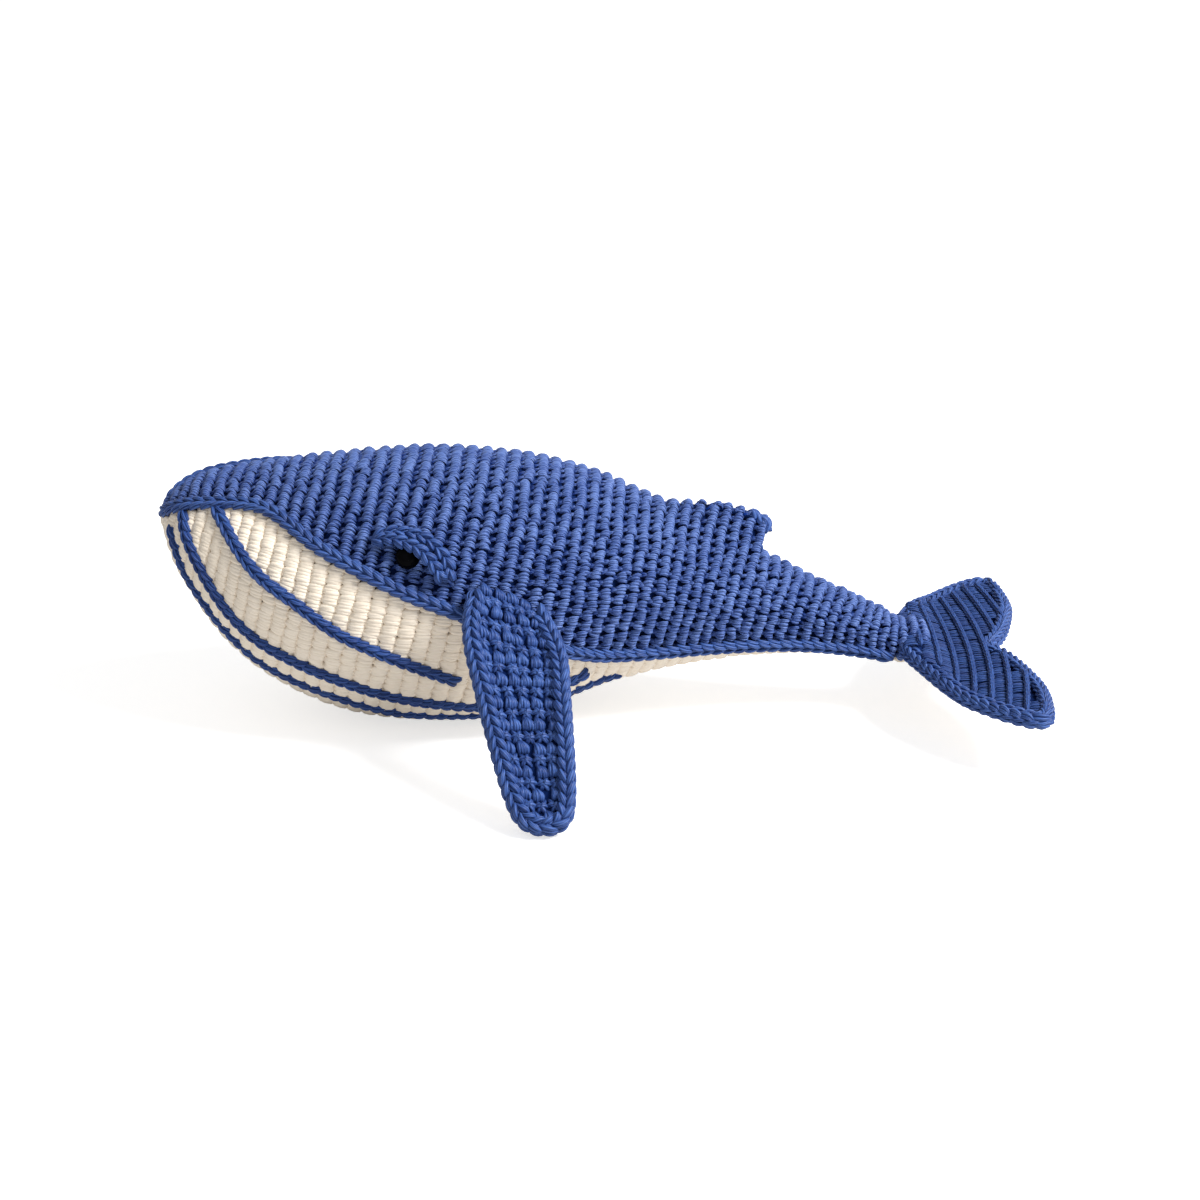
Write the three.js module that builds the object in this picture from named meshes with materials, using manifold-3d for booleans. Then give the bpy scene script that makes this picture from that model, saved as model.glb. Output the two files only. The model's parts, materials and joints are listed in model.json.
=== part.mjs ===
// Crocheted toy whale, head towards -X, belly on the plane z = 0, left side towards -Y. Millimetres.
// The body is one surface drawn from a back line, a keel line and a width. The blue back, the cream
// belly, the filling, the cords, the eyes and the eyelids are all placed on that surface.
import * as THREE from 'three';
import { mergeVertices } from 'three/addons/utils/BufferGeometryUtils.js';
import Module from 'manifold-3d';

const wasm = await Module();
wasm.setup();

// Body
const BODY_LENGTH = 310;      // snout to tail root
const BODY_DEPTH = 113;       // belly to highest point of the back
const BODY_WIDTH = 115;       // widest place, behind the eyes
const FABRIC = 3.2;           // thickness of the crocheted cloth
const FLAT_DEPTH = 0.5;       // how far the belly is pressed flat where it rests
const FIT = 0.3;              // gap between pieces that touch
const SEAM_GAP = 0.4;         // gap between back and belly, under the edging
const FILLING_GAP = 1.1;      // gap between cloth and filling
const CUT_OVERRUN = 20;       // how far a cutting shape runs past what it cuts

// Cords on the body, each wider than it is thick
const EDGING_WIDTH = 5.2;
const EDGING_THICKNESS = 4;
const THROAT_CORD_WIDTH = 4.4;
const THROAT_CORD_THICKNESS = 2.6;
const CORD_STEP = 7;          // length of one straight facet of a cord
const CORD_BEND_RADIUS = 20;  // bends tighter than this get shorter facets

// Eyes and eyelids
const EYE_DIAMETER = 10;
const EYE_HEIGHT = 4;
const EYE_STEM_DIAMETER = 4;
const EYE_STEM_TAIL = 2;      // stem left beyond the washer
const WASHER_DIAMETER = 11;
const WASHER_THICKNESS = 1.2;
const WASHER_SEAT = 0.6;      // drop from the hollow inner face of the cloth to the flat washer
const EYELID_WIDTH = 8.5;
const EYELID_THICKNESS = 5;
const EYELID_TIP_WIDTH = 3;

// Dorsal fin, worked in one with the back
const DORSAL_HEIGHT = 14.5;
const DORSAL_FOOT = 15;       // half the width of its foot
const DORSAL_HOLLOW = 1.4;    // 1 is a straight side, more a hollow one
const DORSAL_OVERHANG = 5;    // how far its top leans towards the tail

// Pectoral fins
const FIN_LENGTH = 97;
const FIN_WIDTH = 38;
const FIN_TIP_SINK = 1.5;     // depth below the table where the line from root to tip would end
const FIN_SWEEP = 16.4;        // root to tip, towards the tail
const FIN_ARCH = 5;           // how far the fin bows up between root and tip
const FIN_TIP_CURL = 6;
const FIN_DISH = 1.5;         // how far the middle lies below the edges
const FIN_CLOTH = 2.6;
const FIN_EDGING_WIDTH = 5;
const FIN_EDGING_THICKNESS = 7.6;
const FIN_ROOT_CLEARANCE = 0.7;

// Tail fluke
const FLUKE_SPAN = 158;
const FLUKE_CHORD = 56;       // root to the rear of a lobe
const FLUKE_ROOT_WIDTH = 21;
const FLUKE_ROOT_DEPTH = 12;
const FLUKE_CLOTH = 3.1;
const FLUKE_DROP = 4;         // how far the flat of the fluke lies below its hinge
const FLUKE_EDGING_WIDTH = 5;
const FLUKE_EDGING_THICKNESS = 6.8;
const FLUKE_HINGE_HEIGHT = 29.5;
const FLUKE_CLEARANCE = 0.45; // from the tail end to the round nose of the fluke

// Colours
const BLUE = 0x3a5ba8;
const BLUE_DARK = 0x34539c;
const CREAM = 0xf1e8d6;
const FILLING_WHITE = 0xf6f5f1;
const BLACK = 0x0b0b0d;

// Back line and keel line at each station: along the body, then up, as shares of length and depth
const backLineShares = [
  [0, 0.77], [0.0155, 0.838], [0.063, 0.913], [0.15, 0.95], [0.2435, 0.978], [0.35, 1], [0.463, 0.982],
  [0.568, 0.92], [0.66, 0.814], [0.763, 0.669], [0.86, 0.531], [0.95, 0.412], [0.985, 0.356],
];
const keelLineShares = [
  [0, 0.77], [0.008, 0.695], [0.0275, 0.544], [0.0855, 0.301], [0.166, 0.128], [0.26, 0.027], [0.3645, 0],
  [0.479, 0.029], [0.5935, 0.147], [0.7145, 0.221], [0.837, 0.243], [0.94, 0.223], [0.977, 0.199],
];
// Half width at each station as a share of the body's width
const halfWidthShares = [
  0, 0.096, 0.226, 0.365, 0.4565, 0.5, 0.5, 0.4435, 0.335, 0.235, 0.148, 0.102, 0.092,
];
// 2 is a round underside, more is a squarer one
const undersideSquareness = [2, 2, 2, 2, 2, 2, 2, 2.1, 2.3, 2.5, 2.7, 2.8, 2.8];
// Where the seam runs at each station, in degrees above the widest line
const seamAngles = [19, 30.8, 42.4, 48.6, 31.3, 17.6, 7, -5.7, -20.7, -25.2, -25.2, -26.2, -29];
const LAST_STATION = backLineShares.length - 1;

// Routes on the body: station, then degrees above the widest line
const throatRoutes = {
  upper: [[2.44, 39.8], [2.77, 24.6], [3.25, 11.6], [3.89, 3.6], [4.51, -5.2], [5.12, -11.4], [5.59, -16.6],
    [6.12, -23.6]],
  middle: [[1.8, 28.2], [1.98, 10.2], [2.41, -8.3], [2.9, -19.8], [3.44, -25.8], [4.04, -27.4], [4.59, -29.6],
    [5.2, -33.6], [5.92, -38.6], [6.5, -41.6], [7, -37.4], [7.43, -31.2], [7.66, -27]],
  lower: [[1.35, 6.2], [1.56, -7.4], [1.82, -19.4], [2.1, -32.4], [2.5, -37.6], [3, -41.4], [3.5, -45.6],
    [4.01, -44.8], [4.5, -44.8], [5.04, -47.8], [5.5, -51.8], [6.2, -53.8], [6.8, -52.8], [7.42, -47.8],
    [7.76, -45.8], [8.06, -44.8]],
};
const eyelidRoute = [
  [4.66, 39], [4.85, 42.5], [5.08, 41.5], [5.28, 38.5], [5.45, 33], [5.57, 27], [5.62, 22],
];
const EYE_PLACE = [5.11, 30];
const FIN_ROOT_PLACE = [6.32, 16];
const FIN_ROOT_SLOPE = -20;   // degrees that the root line falls towards the tail

// Dorsal fin: first and last station, and its height along it as shares
const DORSAL_START = 8;
const DORSAL_END = 9.29;
const DORSAL_BACK_END = 9.34;
const dorsalHeightShares = [
  [0, 0], [0.15, 0.24], [0.38, 0.55], [0.55, 0.78], [0.75, 0.92], [0.9, 0.97], [1, 0.97],
];

// Half outline of a pectoral fin from root to tip: shares of its length, then of its width
const finOutlineShares = [
  [0, 0.4], [0.12, 0.49], [0.25, 0.525], [0.45, 0.47], [0.7, 0.405], [0.86, 0.345], [0.95, 0.265],
  [0.99, 0.13], [1, 0],
];

// Half outline of the fluke from its root round a lobe to the notch: shares of chord, then of half span
const flukeOutlineShares = [
  [0, 0.14], [0.03, 0.235], [0.07, 0.33], [0.2, 0.54], [0.36, 0.71], [0.54, 0.85], [0.71, 0.95], [0.84, 0.99],
  [0.925, 0.97], [0.965, 0.9], [0.99, 0.77], [1, 0.6], [0.955, 0.41], [0.86, 0.17], [0.74, 0],
];

const UP = new THREE.Vector3(0, 0, 1);
const DEGREE = Math.PI / 180;

// Value at t of a smooth curve through equally spaced values
function alongStations(values, t) {
  const last = values.length - 1;
  const place = THREE.MathUtils.clamp(t, 0, last);
  const i = Math.min(Math.floor(place), last - 1);
  const f = place - i;
  const p1 = values[i];
  const p2 = values[i + 1];
  const p0 = i > 0 ? values[i - 1] : 2 * p1 - p2;
  const p3 = i < last - 1 ? values[i + 2] : 2 * p2 - p1;
  return 0.5 * (2 * p1 + (p2 - p0) * f + (2 * p0 - 5 * p1 + 4 * p2 - p3) * f ** 2
    + (3 * p1 - p0 - 3 * p2 + p3) * f ** 3);
}

// Value at t of straight steps through [place, value] pairs
function alongTable(table, t) {
  let i = 0;
  while (i < table.length - 2 && t > table[i + 1][0]) {
    i += 1;
  }
  const [start, from] = table[i];
  const [end, to] = table[i + 1];
  return THREE.MathUtils.lerp(from, to, THREE.MathUtils.clamp((t - start) / (end - start), 0, 1));
}

const column = (table, index) => table.map((row) => row[index]);
const backAlong = column(backLineShares, 0);
const backUp = column(backLineShares, 1);
const keelAlong = column(keelLineShares, 0);
const keelUp = column(keelLineShares, 1);
const LOWEST = SEAM_GAP / 2 - FLAT_DEPTH;

function bodyLinePoint(along, up, station) {
  return new THREE.Vector3(
    alongStations(along, station) * BODY_LENGTH,
    0,
    alongStations(up, station) * BODY_DEPTH + LOWEST,
  );
}

// Height of the dorsal fin at a station, and its share at an angle across the back
function dorsalRise(station, angle) {
  if (station < DORSAL_START || station > DORSAL_BACK_END) {
    return 0;
  }
  const share = station > DORSAL_END
    ? (DORSAL_BACK_END - station) / (DORSAL_BACK_END - DORSAL_END)
    : alongTable(dorsalHeightShares, (station - DORSAL_START) / (DORSAL_END - DORSAL_START));
  const sideways = alongStations(halfWidthShares, station) * BODY_WIDTH * Math.abs(Math.cos(angle * DEGREE));
  return share * Math.max(0, 1 - sideways / DORSAL_FOOT) ** DORSAL_HOLLOW;
}

// Body surface: angle -90 is the keel, 0 the left side, 90 the back, 180 the right side
function bodySurface(station, angle) {
  const back = bodyLinePoint(backAlong, backUp, station);
  const keel = bodyLinePoint(keelAlong, keelUp, station);
  const sine = Math.sin(angle * DEGREE);
  const cosine = Math.cos(angle * DEGREE);
  const power = 2 / (sine < 0 ? alongStations(undersideSquareness, station) : 2);
  const rise = Math.sign(sine) * Math.abs(sine) ** power;
  const point = keel.clone().lerp(back, (1 + rise) / 2);
  const halfWidth = alongStations(halfWidthShares, station) * BODY_WIDTH;
  point.y = -Math.sign(cosine) * Math.abs(cosine) ** power * halfWidth;
  return point;
}

function bodyNormal(station, angle) {
  const small = 0.002;
  if (station < small) {
    return new THREE.Vector3(-1, 0, 0);
  }
  const along = bodySurface(Math.min(station + small, LAST_STATION), angle)
    .sub(bodySurface(station - small, angle));
  const around = bodySurface(station, angle + 1).sub(bodySurface(station, angle - 1));
  return along.cross(around).normalize();
}

// Point at a height above the body surface
function onBody(station, angle, lift) {
  return bodySurface(station, angle).addScaledVector(bodyNormal(station, angle), lift);
}

// Closed solid from vertices and triangles, with its faces turned outwards
function solid(points, triangles) {
  const soup = new THREE.BufferGeometry();
  soup.setAttribute('position', new THREE.Float32BufferAttribute(points.flatMap((p) => [p.x, p.y, p.z]), 3));
  soup.setIndex(triangles.flat());
  const merged = mergeVertices(soup, FIT / 1000);
  const index = [...merged.index.array];
  const kept = [];
  for (let i = 0; i < index.length; i += 3) {
    const [a, b, c] = index.slice(i, i + 3);
    if (a !== b && b !== c && c !== a) {
      kept.push([a, b, c]);
    }
  }
  const at = (i) => new THREE.Vector3().fromBufferAttribute(merged.attributes.position, i);
  const volume = kept.reduce((sum, [a, b, c]) => sum + at(a).dot(at(b).cross(at(c))), 0);
  merged.setIndex((volume < 0 ? kept.map(([a, b, c]) => [a, c, b]) : kept).flat());
  merged.computeVertexNormals();
  return merged;
}

// Closed solid between two grids of points of the same size
function sheetSolid(outer, inner) {
  const rows = outer.length;
  const columns = outer[0].length;
  const points = [...outer.flat(), ...inner.flat()];
  const place = (layer, i, j) => layer * rows * columns + i * columns + j;
  const triangles = [];
  const quad = (a, b, c, d) => triangles.push([a, b, c], [a, c, d]);
  for (let i = 0; i < rows - 1; i += 1) {
    for (let j = 0; j < columns - 1; j += 1) {
      quad(place(0, i, j), place(0, i + 1, j), place(0, i + 1, j + 1), place(0, i, j + 1));
      quad(place(1, i, j), place(1, i, j + 1), place(1, i + 1, j + 1), place(1, i + 1, j));
    }
    quad(place(0, i, 0), place(1, i, 0), place(1, i + 1, 0), place(0, i + 1, 0));
    const j = columns - 1;
    quad(place(0, i, j), place(0, i + 1, j), place(1, i + 1, j), place(1, i, j));
  }
  for (let j = 0; j < columns - 1; j += 1) {
    quad(place(0, 0, j), place(0, 0, j + 1), place(1, 0, j + 1), place(1, 0, j));
    const i = rows - 1;
    quad(place(0, i, j), place(1, i, j), place(1, i, j + 1), place(0, i, j + 1));
  }
  return solid(points, triangles);
}

// Closed solid through rings of points, with flat ends
function loftSolid(rings) {
  const count = rings[0].length;
  const points = rings.flat();
  const triangles = [];
  for (let i = 0; i < rings.length - 1; i += 1) {
    for (let j = 0; j < count; j += 1) {
      const next = (j + 1) % count;
      triangles.push([i * count + j, i * count + next, (i + 1) * count + next]);
      triangles.push([i * count + j, (i + 1) * count + next, (i + 1) * count + j]);
    }
  }
  for (const i of [0, rings.length - 1]) {
    const centre = rings[i].reduce((sum, p) => sum.add(p), new THREE.Vector3()).divideScalar(count);
    points.push(centre);
    for (let j = 0; j < count; j += 1) {
      const edge = [i * count + (j + 1) % count, i * count + j];
      triangles.push([points.length - 1, ...(i === 0 ? edge : edge.reverse())]);
    }
  }
  return solid(points, triangles);
}

// Flattened cord through points that each carry an up direction; its size may vary along it
function cordSolid(stops, sides, sizeAt) {
  const rings = stops.map(({ point, up }, i) => {
    const before = stops[Math.max(i - 1, 0)].point;
    const after = stops[Math.min(i + 1, stops.length - 1)].point;
    const ahead = after.clone().sub(before).normalize();
    const across = ahead.clone().cross(up).normalize();
    const upright = across.clone().cross(ahead);
    const { width, thickness } = sizeAt(i / (stops.length - 1));
    return Array.from({ length: sides }, (_, k) => {
      const turn = (k + 0.5) * 2 * Math.PI / sides;
      return point.clone()
        .addScaledVector(across, Math.cos(turn) * width / 2)
        .addScaledVector(upright, Math.sin(turn) * thickness / 2);
    });
  });
  return loftSolid(rings);
}

// Evenly spaced stops of a cord that lies on the body, through [station, angle] pairs
function bodyRoute(route, thickness, mirrored) {
  const curve = new THREE.CatmullRomCurve3(route.map(([station, angle]) => (
    new THREE.Vector3(station, angle / 90, 0))));
  const dense = curve.getPoints(route.length * 12).map((p) => {
    const angle = mirrored ? 180 - p.y * 90 : p.y * 90;
    return { point: onBody(p.x, angle, FIT + thickness / 2), up: bodyNormal(p.x, angle) };
  });
  return evenStops(dense);
}

// Picks stops about one cord step apart out of a dense row of them
function evenStops(dense) {
  const lengths = [0];
  for (let i = 1; i < dense.length; i += 1) {
    const turn = dense[i].up.angleTo(dense[i - 1].up);
    lengths.push(lengths[i - 1] + dense[i].point.distanceTo(dense[i - 1].point) + turn * CORD_BEND_RADIUS);
  }
  const total = lengths[lengths.length - 1];
  const count = Math.max(2, Math.round(total / CORD_STEP));
  return Array.from({ length: count + 1 }, (_, k) => {
    const goal = total * k / count;
    const nearest = lengths.reduce((best, value, i) => (
      Math.abs(value - goal) < Math.abs(lengths[best] - goal) ? i : best), 0);
    return dense[nearest];
  });
}

function toManifold(geometry) {
  const bare = geometry.clone();
  bare.deleteAttribute('normal');
  bare.deleteAttribute('uv');
  const merged = mergeVertices(bare, FIT / 1000);
  return new wasm.Manifold(new wasm.Mesh({
    numProp: 3,
    vertProperties: new Float32Array(merged.attributes.position.array),
    triVerts: new Uint32Array(merged.index.array),
  }));
}

function fromManifold(manifold) {
  const mesh = manifold.getMesh();
  const geometry = new THREE.BufferGeometry();
  geometry.setAttribute('position', new THREE.BufferAttribute(new Float32Array(mesh.vertProperties), 3));
  geometry.setIndex([...mesh.triVerts]);
  geometry.computeVertexNormals();
  return geometry;
}

function cut(geometry, cutters) {
  const whole = toManifold(geometry);
  return fromManifold(cutters.reduce((rest, cutter) => rest.subtract(toManifold(cutter)), whole));
}

function material(color, roughness, metalness = 0) {
  return new THREE.MeshStandardMaterial({ color, roughness, metalness });
}

function piece(name, geometry, look) {
  const mesh = new THREE.Mesh(geometry, look);
  mesh.name = name;
  return mesh;
}

// Stations of the body's cross sections, closer together at the snout and at the dorsal fin
function sectionStations() {
  const stations = [0, 0.12, 0.3, 0.6];
  for (let station = 1; station <= LAST_STATION; station += 0.5) {
    stations.push(station);
  }
  const dorsal = dorsalHeightShares.map(([share]) => THREE.MathUtils.lerp(DORSAL_START, DORSAL_END, share));
  const apart = stations.filter((s) => s < DORSAL_START - 0.05 || s > DORSAL_BACK_END + 0.05);
  return [...apart, ...dorsal, DORSAL_BACK_END].sort((a, b) => a - b);
}

const mirrorAngles = (angles) => angles.map((angle) => 180 - angle).reverse();

// Angles of the back's columns at a station: from the left seam over the top to the right one
function backAngles(station) {
  const seam = alongStations(seamAngles, station);
  const flank = [0, 1, 2, 3, 4, 5].map((k) => THREE.MathUtils.lerp(seam, 74, k / 5));
  const crown = [80, 84.5];
  return [...flank, ...crown, 90, ...mirrorAngles([...flank, ...crown])];
}

// Angles of the belly's columns at a station: from the right seam under the keel to the left one
function bellyAngles(station) {
  const seam = alongStations(seamAngles, station);
  const under = [1, 2, 3, 4, 5, 6, 7].map((k) => THREE.MathUtils.lerp(-90, seam, k / 7));
  return [...mirrorAngles(under).map((angle) => angle - 360), -90, ...under];
}

function backPoint(station, angle) {
  const point = onBody(station, angle, 0);
  const rise = dorsalRise(station, angle);
  return point.add(new THREE.Vector3(DORSAL_OVERHANG, 0, DORSAL_HEIGHT).multiplyScalar(rise));
}

// Frame on the body for a round piece: its axis stands square to the cloth
function seatOnBody(mesh, [station, angle], mirrored) {
  const side = mirrored ? 180 - angle : angle;
  mesh.position.copy(bodySurface(station, side));
  mesh.quaternion.setFromUnitVectors(new THREE.Vector3(0, 1, 0), bodyNormal(station, side));
  return mesh;
}

function cylinderOnBody(diameter, from, to, place, mirrored) {
  const geometry = new THREE.CylinderGeometry(diameter / 2, diameter / 2, to - from, 20);
  geometry.translate(0, (from + to) / 2, 0);
  const seat = seatOnBody(new THREE.Object3D(), place, mirrored);
  seat.updateMatrix();
  return geometry.applyMatrix4(seat.matrix);
}

const WASHER_TOP = -(FABRIC + SEAM_GAP + WASHER_SEAT);
const STEM_END = WASHER_TOP - WASHER_THICKNESS - EYE_STEM_TAIL;

function backShell() {
  const stations = sectionStations();
  const outer = stations.map((s) => backAngles(s).map((angle) => backPoint(s, angle)));
  const inner = stations.map((s) => backAngles(s).map((angle) => onBody(s, angle, -FABRIC)));
  const shell = sheetSolid(outer, inner).translate(0, 0, SEAM_GAP / 2);
  const holes = [false, true].map((mirrored) => (
    cylinderOnBody(EYE_STEM_DIAMETER + 2 * FIT, -CUT_OVERRUN, CUT_OVERRUN, EYE_PLACE, mirrored)));
  return piece('back_shell', cut(shell, holes), material(BLUE, 0.9));
}

function bellyPanel() {
  const stations = sectionStations();
  const outer = stations.map((s) => bellyAngles(s).map((angle) => onBody(s, angle, 0)));
  const inner = stations.map((s) => bellyAngles(s).map((angle) => onBody(s, angle, -FABRIC)));
  const panel = sheetSolid(outer, inner).translate(0, 0, -SEAM_GAP / 2);
  const table = new THREE.BoxGeometry(BODY_LENGTH, BODY_WIDTH, CUT_OVERRUN)
    .translate(BODY_LENGTH / 2, 0, -CUT_OVERRUN / 2);
  return piece('belly_panel', cut(panel, [table]), material(CREAM, 0.92));
}

function stuffing() {
  const depth = FABRIC + FILLING_GAP;
  const stations = [0, 0.3, 0.6, 1, 1.5, 2, 3, 4, 5, 6, 7, 8, 9, 10, 11, 12];
  const angles = Array.from({ length: 24 }, (_, k) => k * 15 - 90);
  const rings = stations.map((s) => angles.map((angle) => onBody(s, angle, -depth)));
  const pockets = [false, true].map((mirrored) => (
    cylinderOnBody(WASHER_DIAMETER + 4 * FIT, STEM_END - FIT, CUT_OVERRUN, EYE_PLACE, mirrored)));
  return piece('stuffing', cut(loftSolid(rings), pockets), material(FILLING_WHITE, 1));
}

// One chain over the seam: from the tail along the left side, round the snout and back
function seamEdging() {
  const left = Array.from({ length: LAST_STATION * 8 }, (_, k) => LAST_STATION - 0.1 - k / 8);
  const onSeam = (station, mirrored) => {
    const seam = alongStations(seamAngles, station);
    const angle = mirrored ? 180 - seam : seam;
    return { point: onBody(station, angle, FIT + EDGING_THICKNESS / 2), up: bodyNormal(station, angle) };
  };
  const right = [...left].reverse();
  const dense = [
    ...left.map((s) => onSeam(s, false)),
    onSeam(0, false),
    ...right.map((s) => onSeam(s, true)),
  ];
  const size = { width: EDGING_WIDTH, thickness: EDGING_THICKNESS };
  return piece('seam_edging', cordSolid(evenStops(dense), 6, () => size), material(BLUE_DARK, 0.9));
}

function throatCord(name, side) {
  const stops = bodyRoute(throatRoutes[name], THROAT_CORD_THICKNESS, side === 'right');
  const size = { width: THROAT_CORD_WIDTH, thickness: THROAT_CORD_THICKNESS };
  return piece(`throat_cord_${name}_${side}`, cordSolid(stops, 6, () => size), material(BLUE_DARK, 0.9));
}

function eyelid(side) {
  const stops = bodyRoute(eyelidRoute, EYELID_THICKNESS, side === 'right');
  const sizeAt = (share) => {
    const swell = Math.sin(Math.PI * share);
    return {
      width: THREE.MathUtils.lerp(EYELID_TIP_WIDTH, EYELID_WIDTH, swell),
      thickness: EYELID_THICKNESS,
    };
  };
  return piece(`eyelid_${side}`, cordSolid(stops, 8, sizeAt), material(BLUE_DARK, 0.9));
}

function eye(side) {
  const radius = EYE_DIAMETER / 2;
  const steps = 8;
  const dome = Array.from({ length: steps + 1 }, (_, k) => {
    const turn = k / steps * Math.PI / 2;
    return new THREE.Vector2(radius * Math.cos(turn), FIT + SEAM_GAP + EYE_HEIGHT * Math.sin(turn));
  });
  const profile = [
    new THREE.Vector2(0, STEM_END),
    new THREE.Vector2(EYE_STEM_DIAMETER / 2, STEM_END),
    new THREE.Vector2(EYE_STEM_DIAMETER / 2, FIT + SEAM_GAP),
    ...dome,
  ];
  profile[profile.length - 1].x = 0;
  const mesh = piece(`eye_${side}`, new THREE.LatheGeometry(profile, 32), material(BLACK, 0.12));
  return seatOnBody(mesh, EYE_PLACE, side === 'right');
}

function eyeWasher(side) {
  const inner = EYE_STEM_DIAMETER / 2 + FIT;
  const outer = WASHER_DIAMETER / 2;
  const bottom = WASHER_TOP - WASHER_THICKNESS;
  const profile = [
    new THREE.Vector2(inner, bottom),
    new THREE.Vector2(outer, bottom),
    new THREE.Vector2(outer, WASHER_TOP),
    new THREE.Vector2(inner, WASHER_TOP),
    new THREE.Vector2(inner, bottom),
  ];
  const ring = new THREE.LatheGeometry(profile, 20);
  const mesh = piece(`eye_washer_${side}`, ring, material(FILLING_WHITE, 0.5));
  return seatOnBody(mesh, EYE_PLACE, side === 'right');
}

// Hinge of a pectoral fin, just off the flank
function finRoot(side) {
  const [station, angle] = FIN_ROOT_PLACE;
  return onBody(station, side < 0 ? angle : 180 - angle, FIT / 2 + FIN_CLOTH + FIN_ROOT_CLEARANCE);
}

// Pectoral fin, seen from its hinge at the origin: it runs out and down, and bows up in between.
// side is -1 on the left; share runs from root to tip, chord from front to rear, lift up from the middle.
function finPoint(side, share, chord, lift) {
  const droop = Math.asin((finRoot(side).z + FIN_TIP_SINK) / FIN_LENGTH);
  const out = new THREE.Vector3(0, side * Math.cos(droop), -Math.sin(droop));
  const up = new THREE.Vector3(0, side * Math.sin(droop), Math.cos(droop));
  const slope = FIN_ROOT_SLOPE * DEGREE * Math.max(0, 1 - share * 2);
  const along = share * FIN_LENGTH;
  const bow = FIN_ARCH * 4 * share * (1 - share) + FIN_TIP_CURL * THREE.MathUtils.smoothstep(share, 0.8, 1.1);
  const edge = Math.min(1, Math.abs(chord) / (FIN_WIDTH / 2));
  const dish = FIN_DISH * edge ** 2 * THREE.MathUtils.smoothstep(share, 0, 0.2);
  return new THREE.Vector3(FIN_SWEEP * share + chord * Math.cos(slope), 0, chord * Math.sin(slope))
    .addScaledVector(out, along)
    .addScaledVector(up, bow + dish + lift);
}

// Smooth outline through shares, as points along and across a flat limb
function flatOutline(shares, length, halfWidth) {
  const curve = new THREE.CatmullRomCurve3(shares.map(([along, across]) => (
    new THREE.Vector3(along * length, across * halfWidth, 0))));
  return curve.getPoints(shares.length * 8);
}

// The same outline, moved inwards by an inset
function insetOutline(outline, inset) {
  return outline.map((p, i) => {
    const before = outline[Math.max(i - 1, 0)];
    const after = outline[Math.min(i + 1, outline.length - 1)];
    const ahead = after.clone().sub(before).normalize();
    return new THREE.Vector3(p.x + ahead.y * inset, p.y - ahead.x * inset, 0);
  });
}

function distanceToOutline(x, y, outline) {
  const spot = new THREE.Vector3(x, y, 0);
  const nearest = new THREE.Vector3();
  return outline.slice(1).reduce((least, end, i) => {
    new THREE.Line3(outline[i], end).closestPointToPoint(spot, true, nearest);
    return Math.min(least, nearest.distanceTo(spot));
  }, Infinity);
}

// Last point on the way from an inner to an outer point that keeps an inset from the outline
function reachInside(inner, outer, outline, inset) {
  const steps = 200;
  const spots = Array.from({ length: steps + 1 }, (_, k) => inner.clone().lerp(outer, k / steps));
  const stop = spots.findIndex((spot) => distanceToOutline(spot.x, spot.y, outline) < inset);
  return spots[Math.max(stop - 1, 0)];
}

const finOutline = flatOutline(finOutlineShares, FIN_LENGTH, FIN_WIDTH);
const finInset = FIN_EDGING_WIDTH + 2 * FIT;

function finPanel(side, layer) {
  const shares = [0, 0.1, 0.22, 0.34, 0.46, 0.58, 0.7, 0.8, 0.87, 0.91, 0.93];
  const across = [-1, -0.67, -0.33, 0, 0.33, 0.67, 1];
  const grid = (lift) => shares.map((share) => {
    const inner = new THREE.Vector3(share * FIN_LENGTH, 0, 0);
    const outer = new THREE.Vector3(share * FIN_LENGTH, FIN_WIDTH / 2, 0);
    const half = reachInside(inner, outer, finOutline, finInset).y;
    return across.map((part) => finPoint(side, share, part * half, layer * lift));
  });
  return sheetSolid(grid(FIT / 2 + FIN_CLOTH), grid(FIT / 2));
}

function finEdging(side) {
  const middle = insetOutline(finOutline, FIN_EDGING_WIDTH / 2);
  const line = middle.filter((p) => p.x > FIN_EDGING_WIDTH && p.y > 0);
  const stop = (p, edge) => {
    const share = p.x / FIN_LENGTH;
    const point = finPoint(side, share, edge * p.y, 0);
    return { point, up: finPoint(side, share, edge * p.y, 1).sub(point) };
  };
  const dense = [...line.map((p) => stop(p, -1)), ...line.reverse().map((p) => stop(p, 1))];
  const size = { width: FIN_EDGING_WIDTH, thickness: FIN_EDGING_THICKNESS };
  return cordSolid(evenStops(dense), 8, () => size);
}

function pectoralFin(name, side) {
  const fin = new THREE.Group();
  fin.position.copy(finRoot(side));
  fin.add(piece(`${name}_fin_top`, finPanel(side, 1), material(BLUE, 0.9)));
  fin.add(piece(`${name}_fin_under`, finPanel(side, -1), material(CREAM, 0.92)));
  fin.add(piece(`${name}_fin_edging`, finEdging(side), material(BLUE_DARK, 0.9)));
  return fin;
}

// Tail fluke, seen from its hinge at the origin: share runs along the half span, back from front to rear
const flukeNose = FLUKE_ROOT_DEPTH / 2;
const flukeMiddle = (x) => -FLUKE_DROP * THREE.MathUtils.smoothstep(x, 0, FLUKE_CHORD / 3);

function flukeThickness(x) {
  const flat = FIT / 2 + FLUKE_CLOTH;
  const taper = THREE.MathUtils.smoothstep(x, 0, FLUKE_CHORD / 3);
  const nose = x < 0 ? Math.sqrt(Math.max(0, 1 - (x / flukeNose) ** 2)) : 1;
  return THREE.MathUtils.lerp(flukeNose, flat, taper) * nose;
}

const halfSpan = FLUKE_SPAN / 2;
const flukeOutline = flatOutline(flukeOutlineShares, FLUKE_CHORD, halfSpan)
  .map((p) => p.sub(new THREE.Vector3(flukeNose, 0, 0)));
const flukeInset = FLUKE_EDGING_WIDTH + 2 * FIT;

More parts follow.
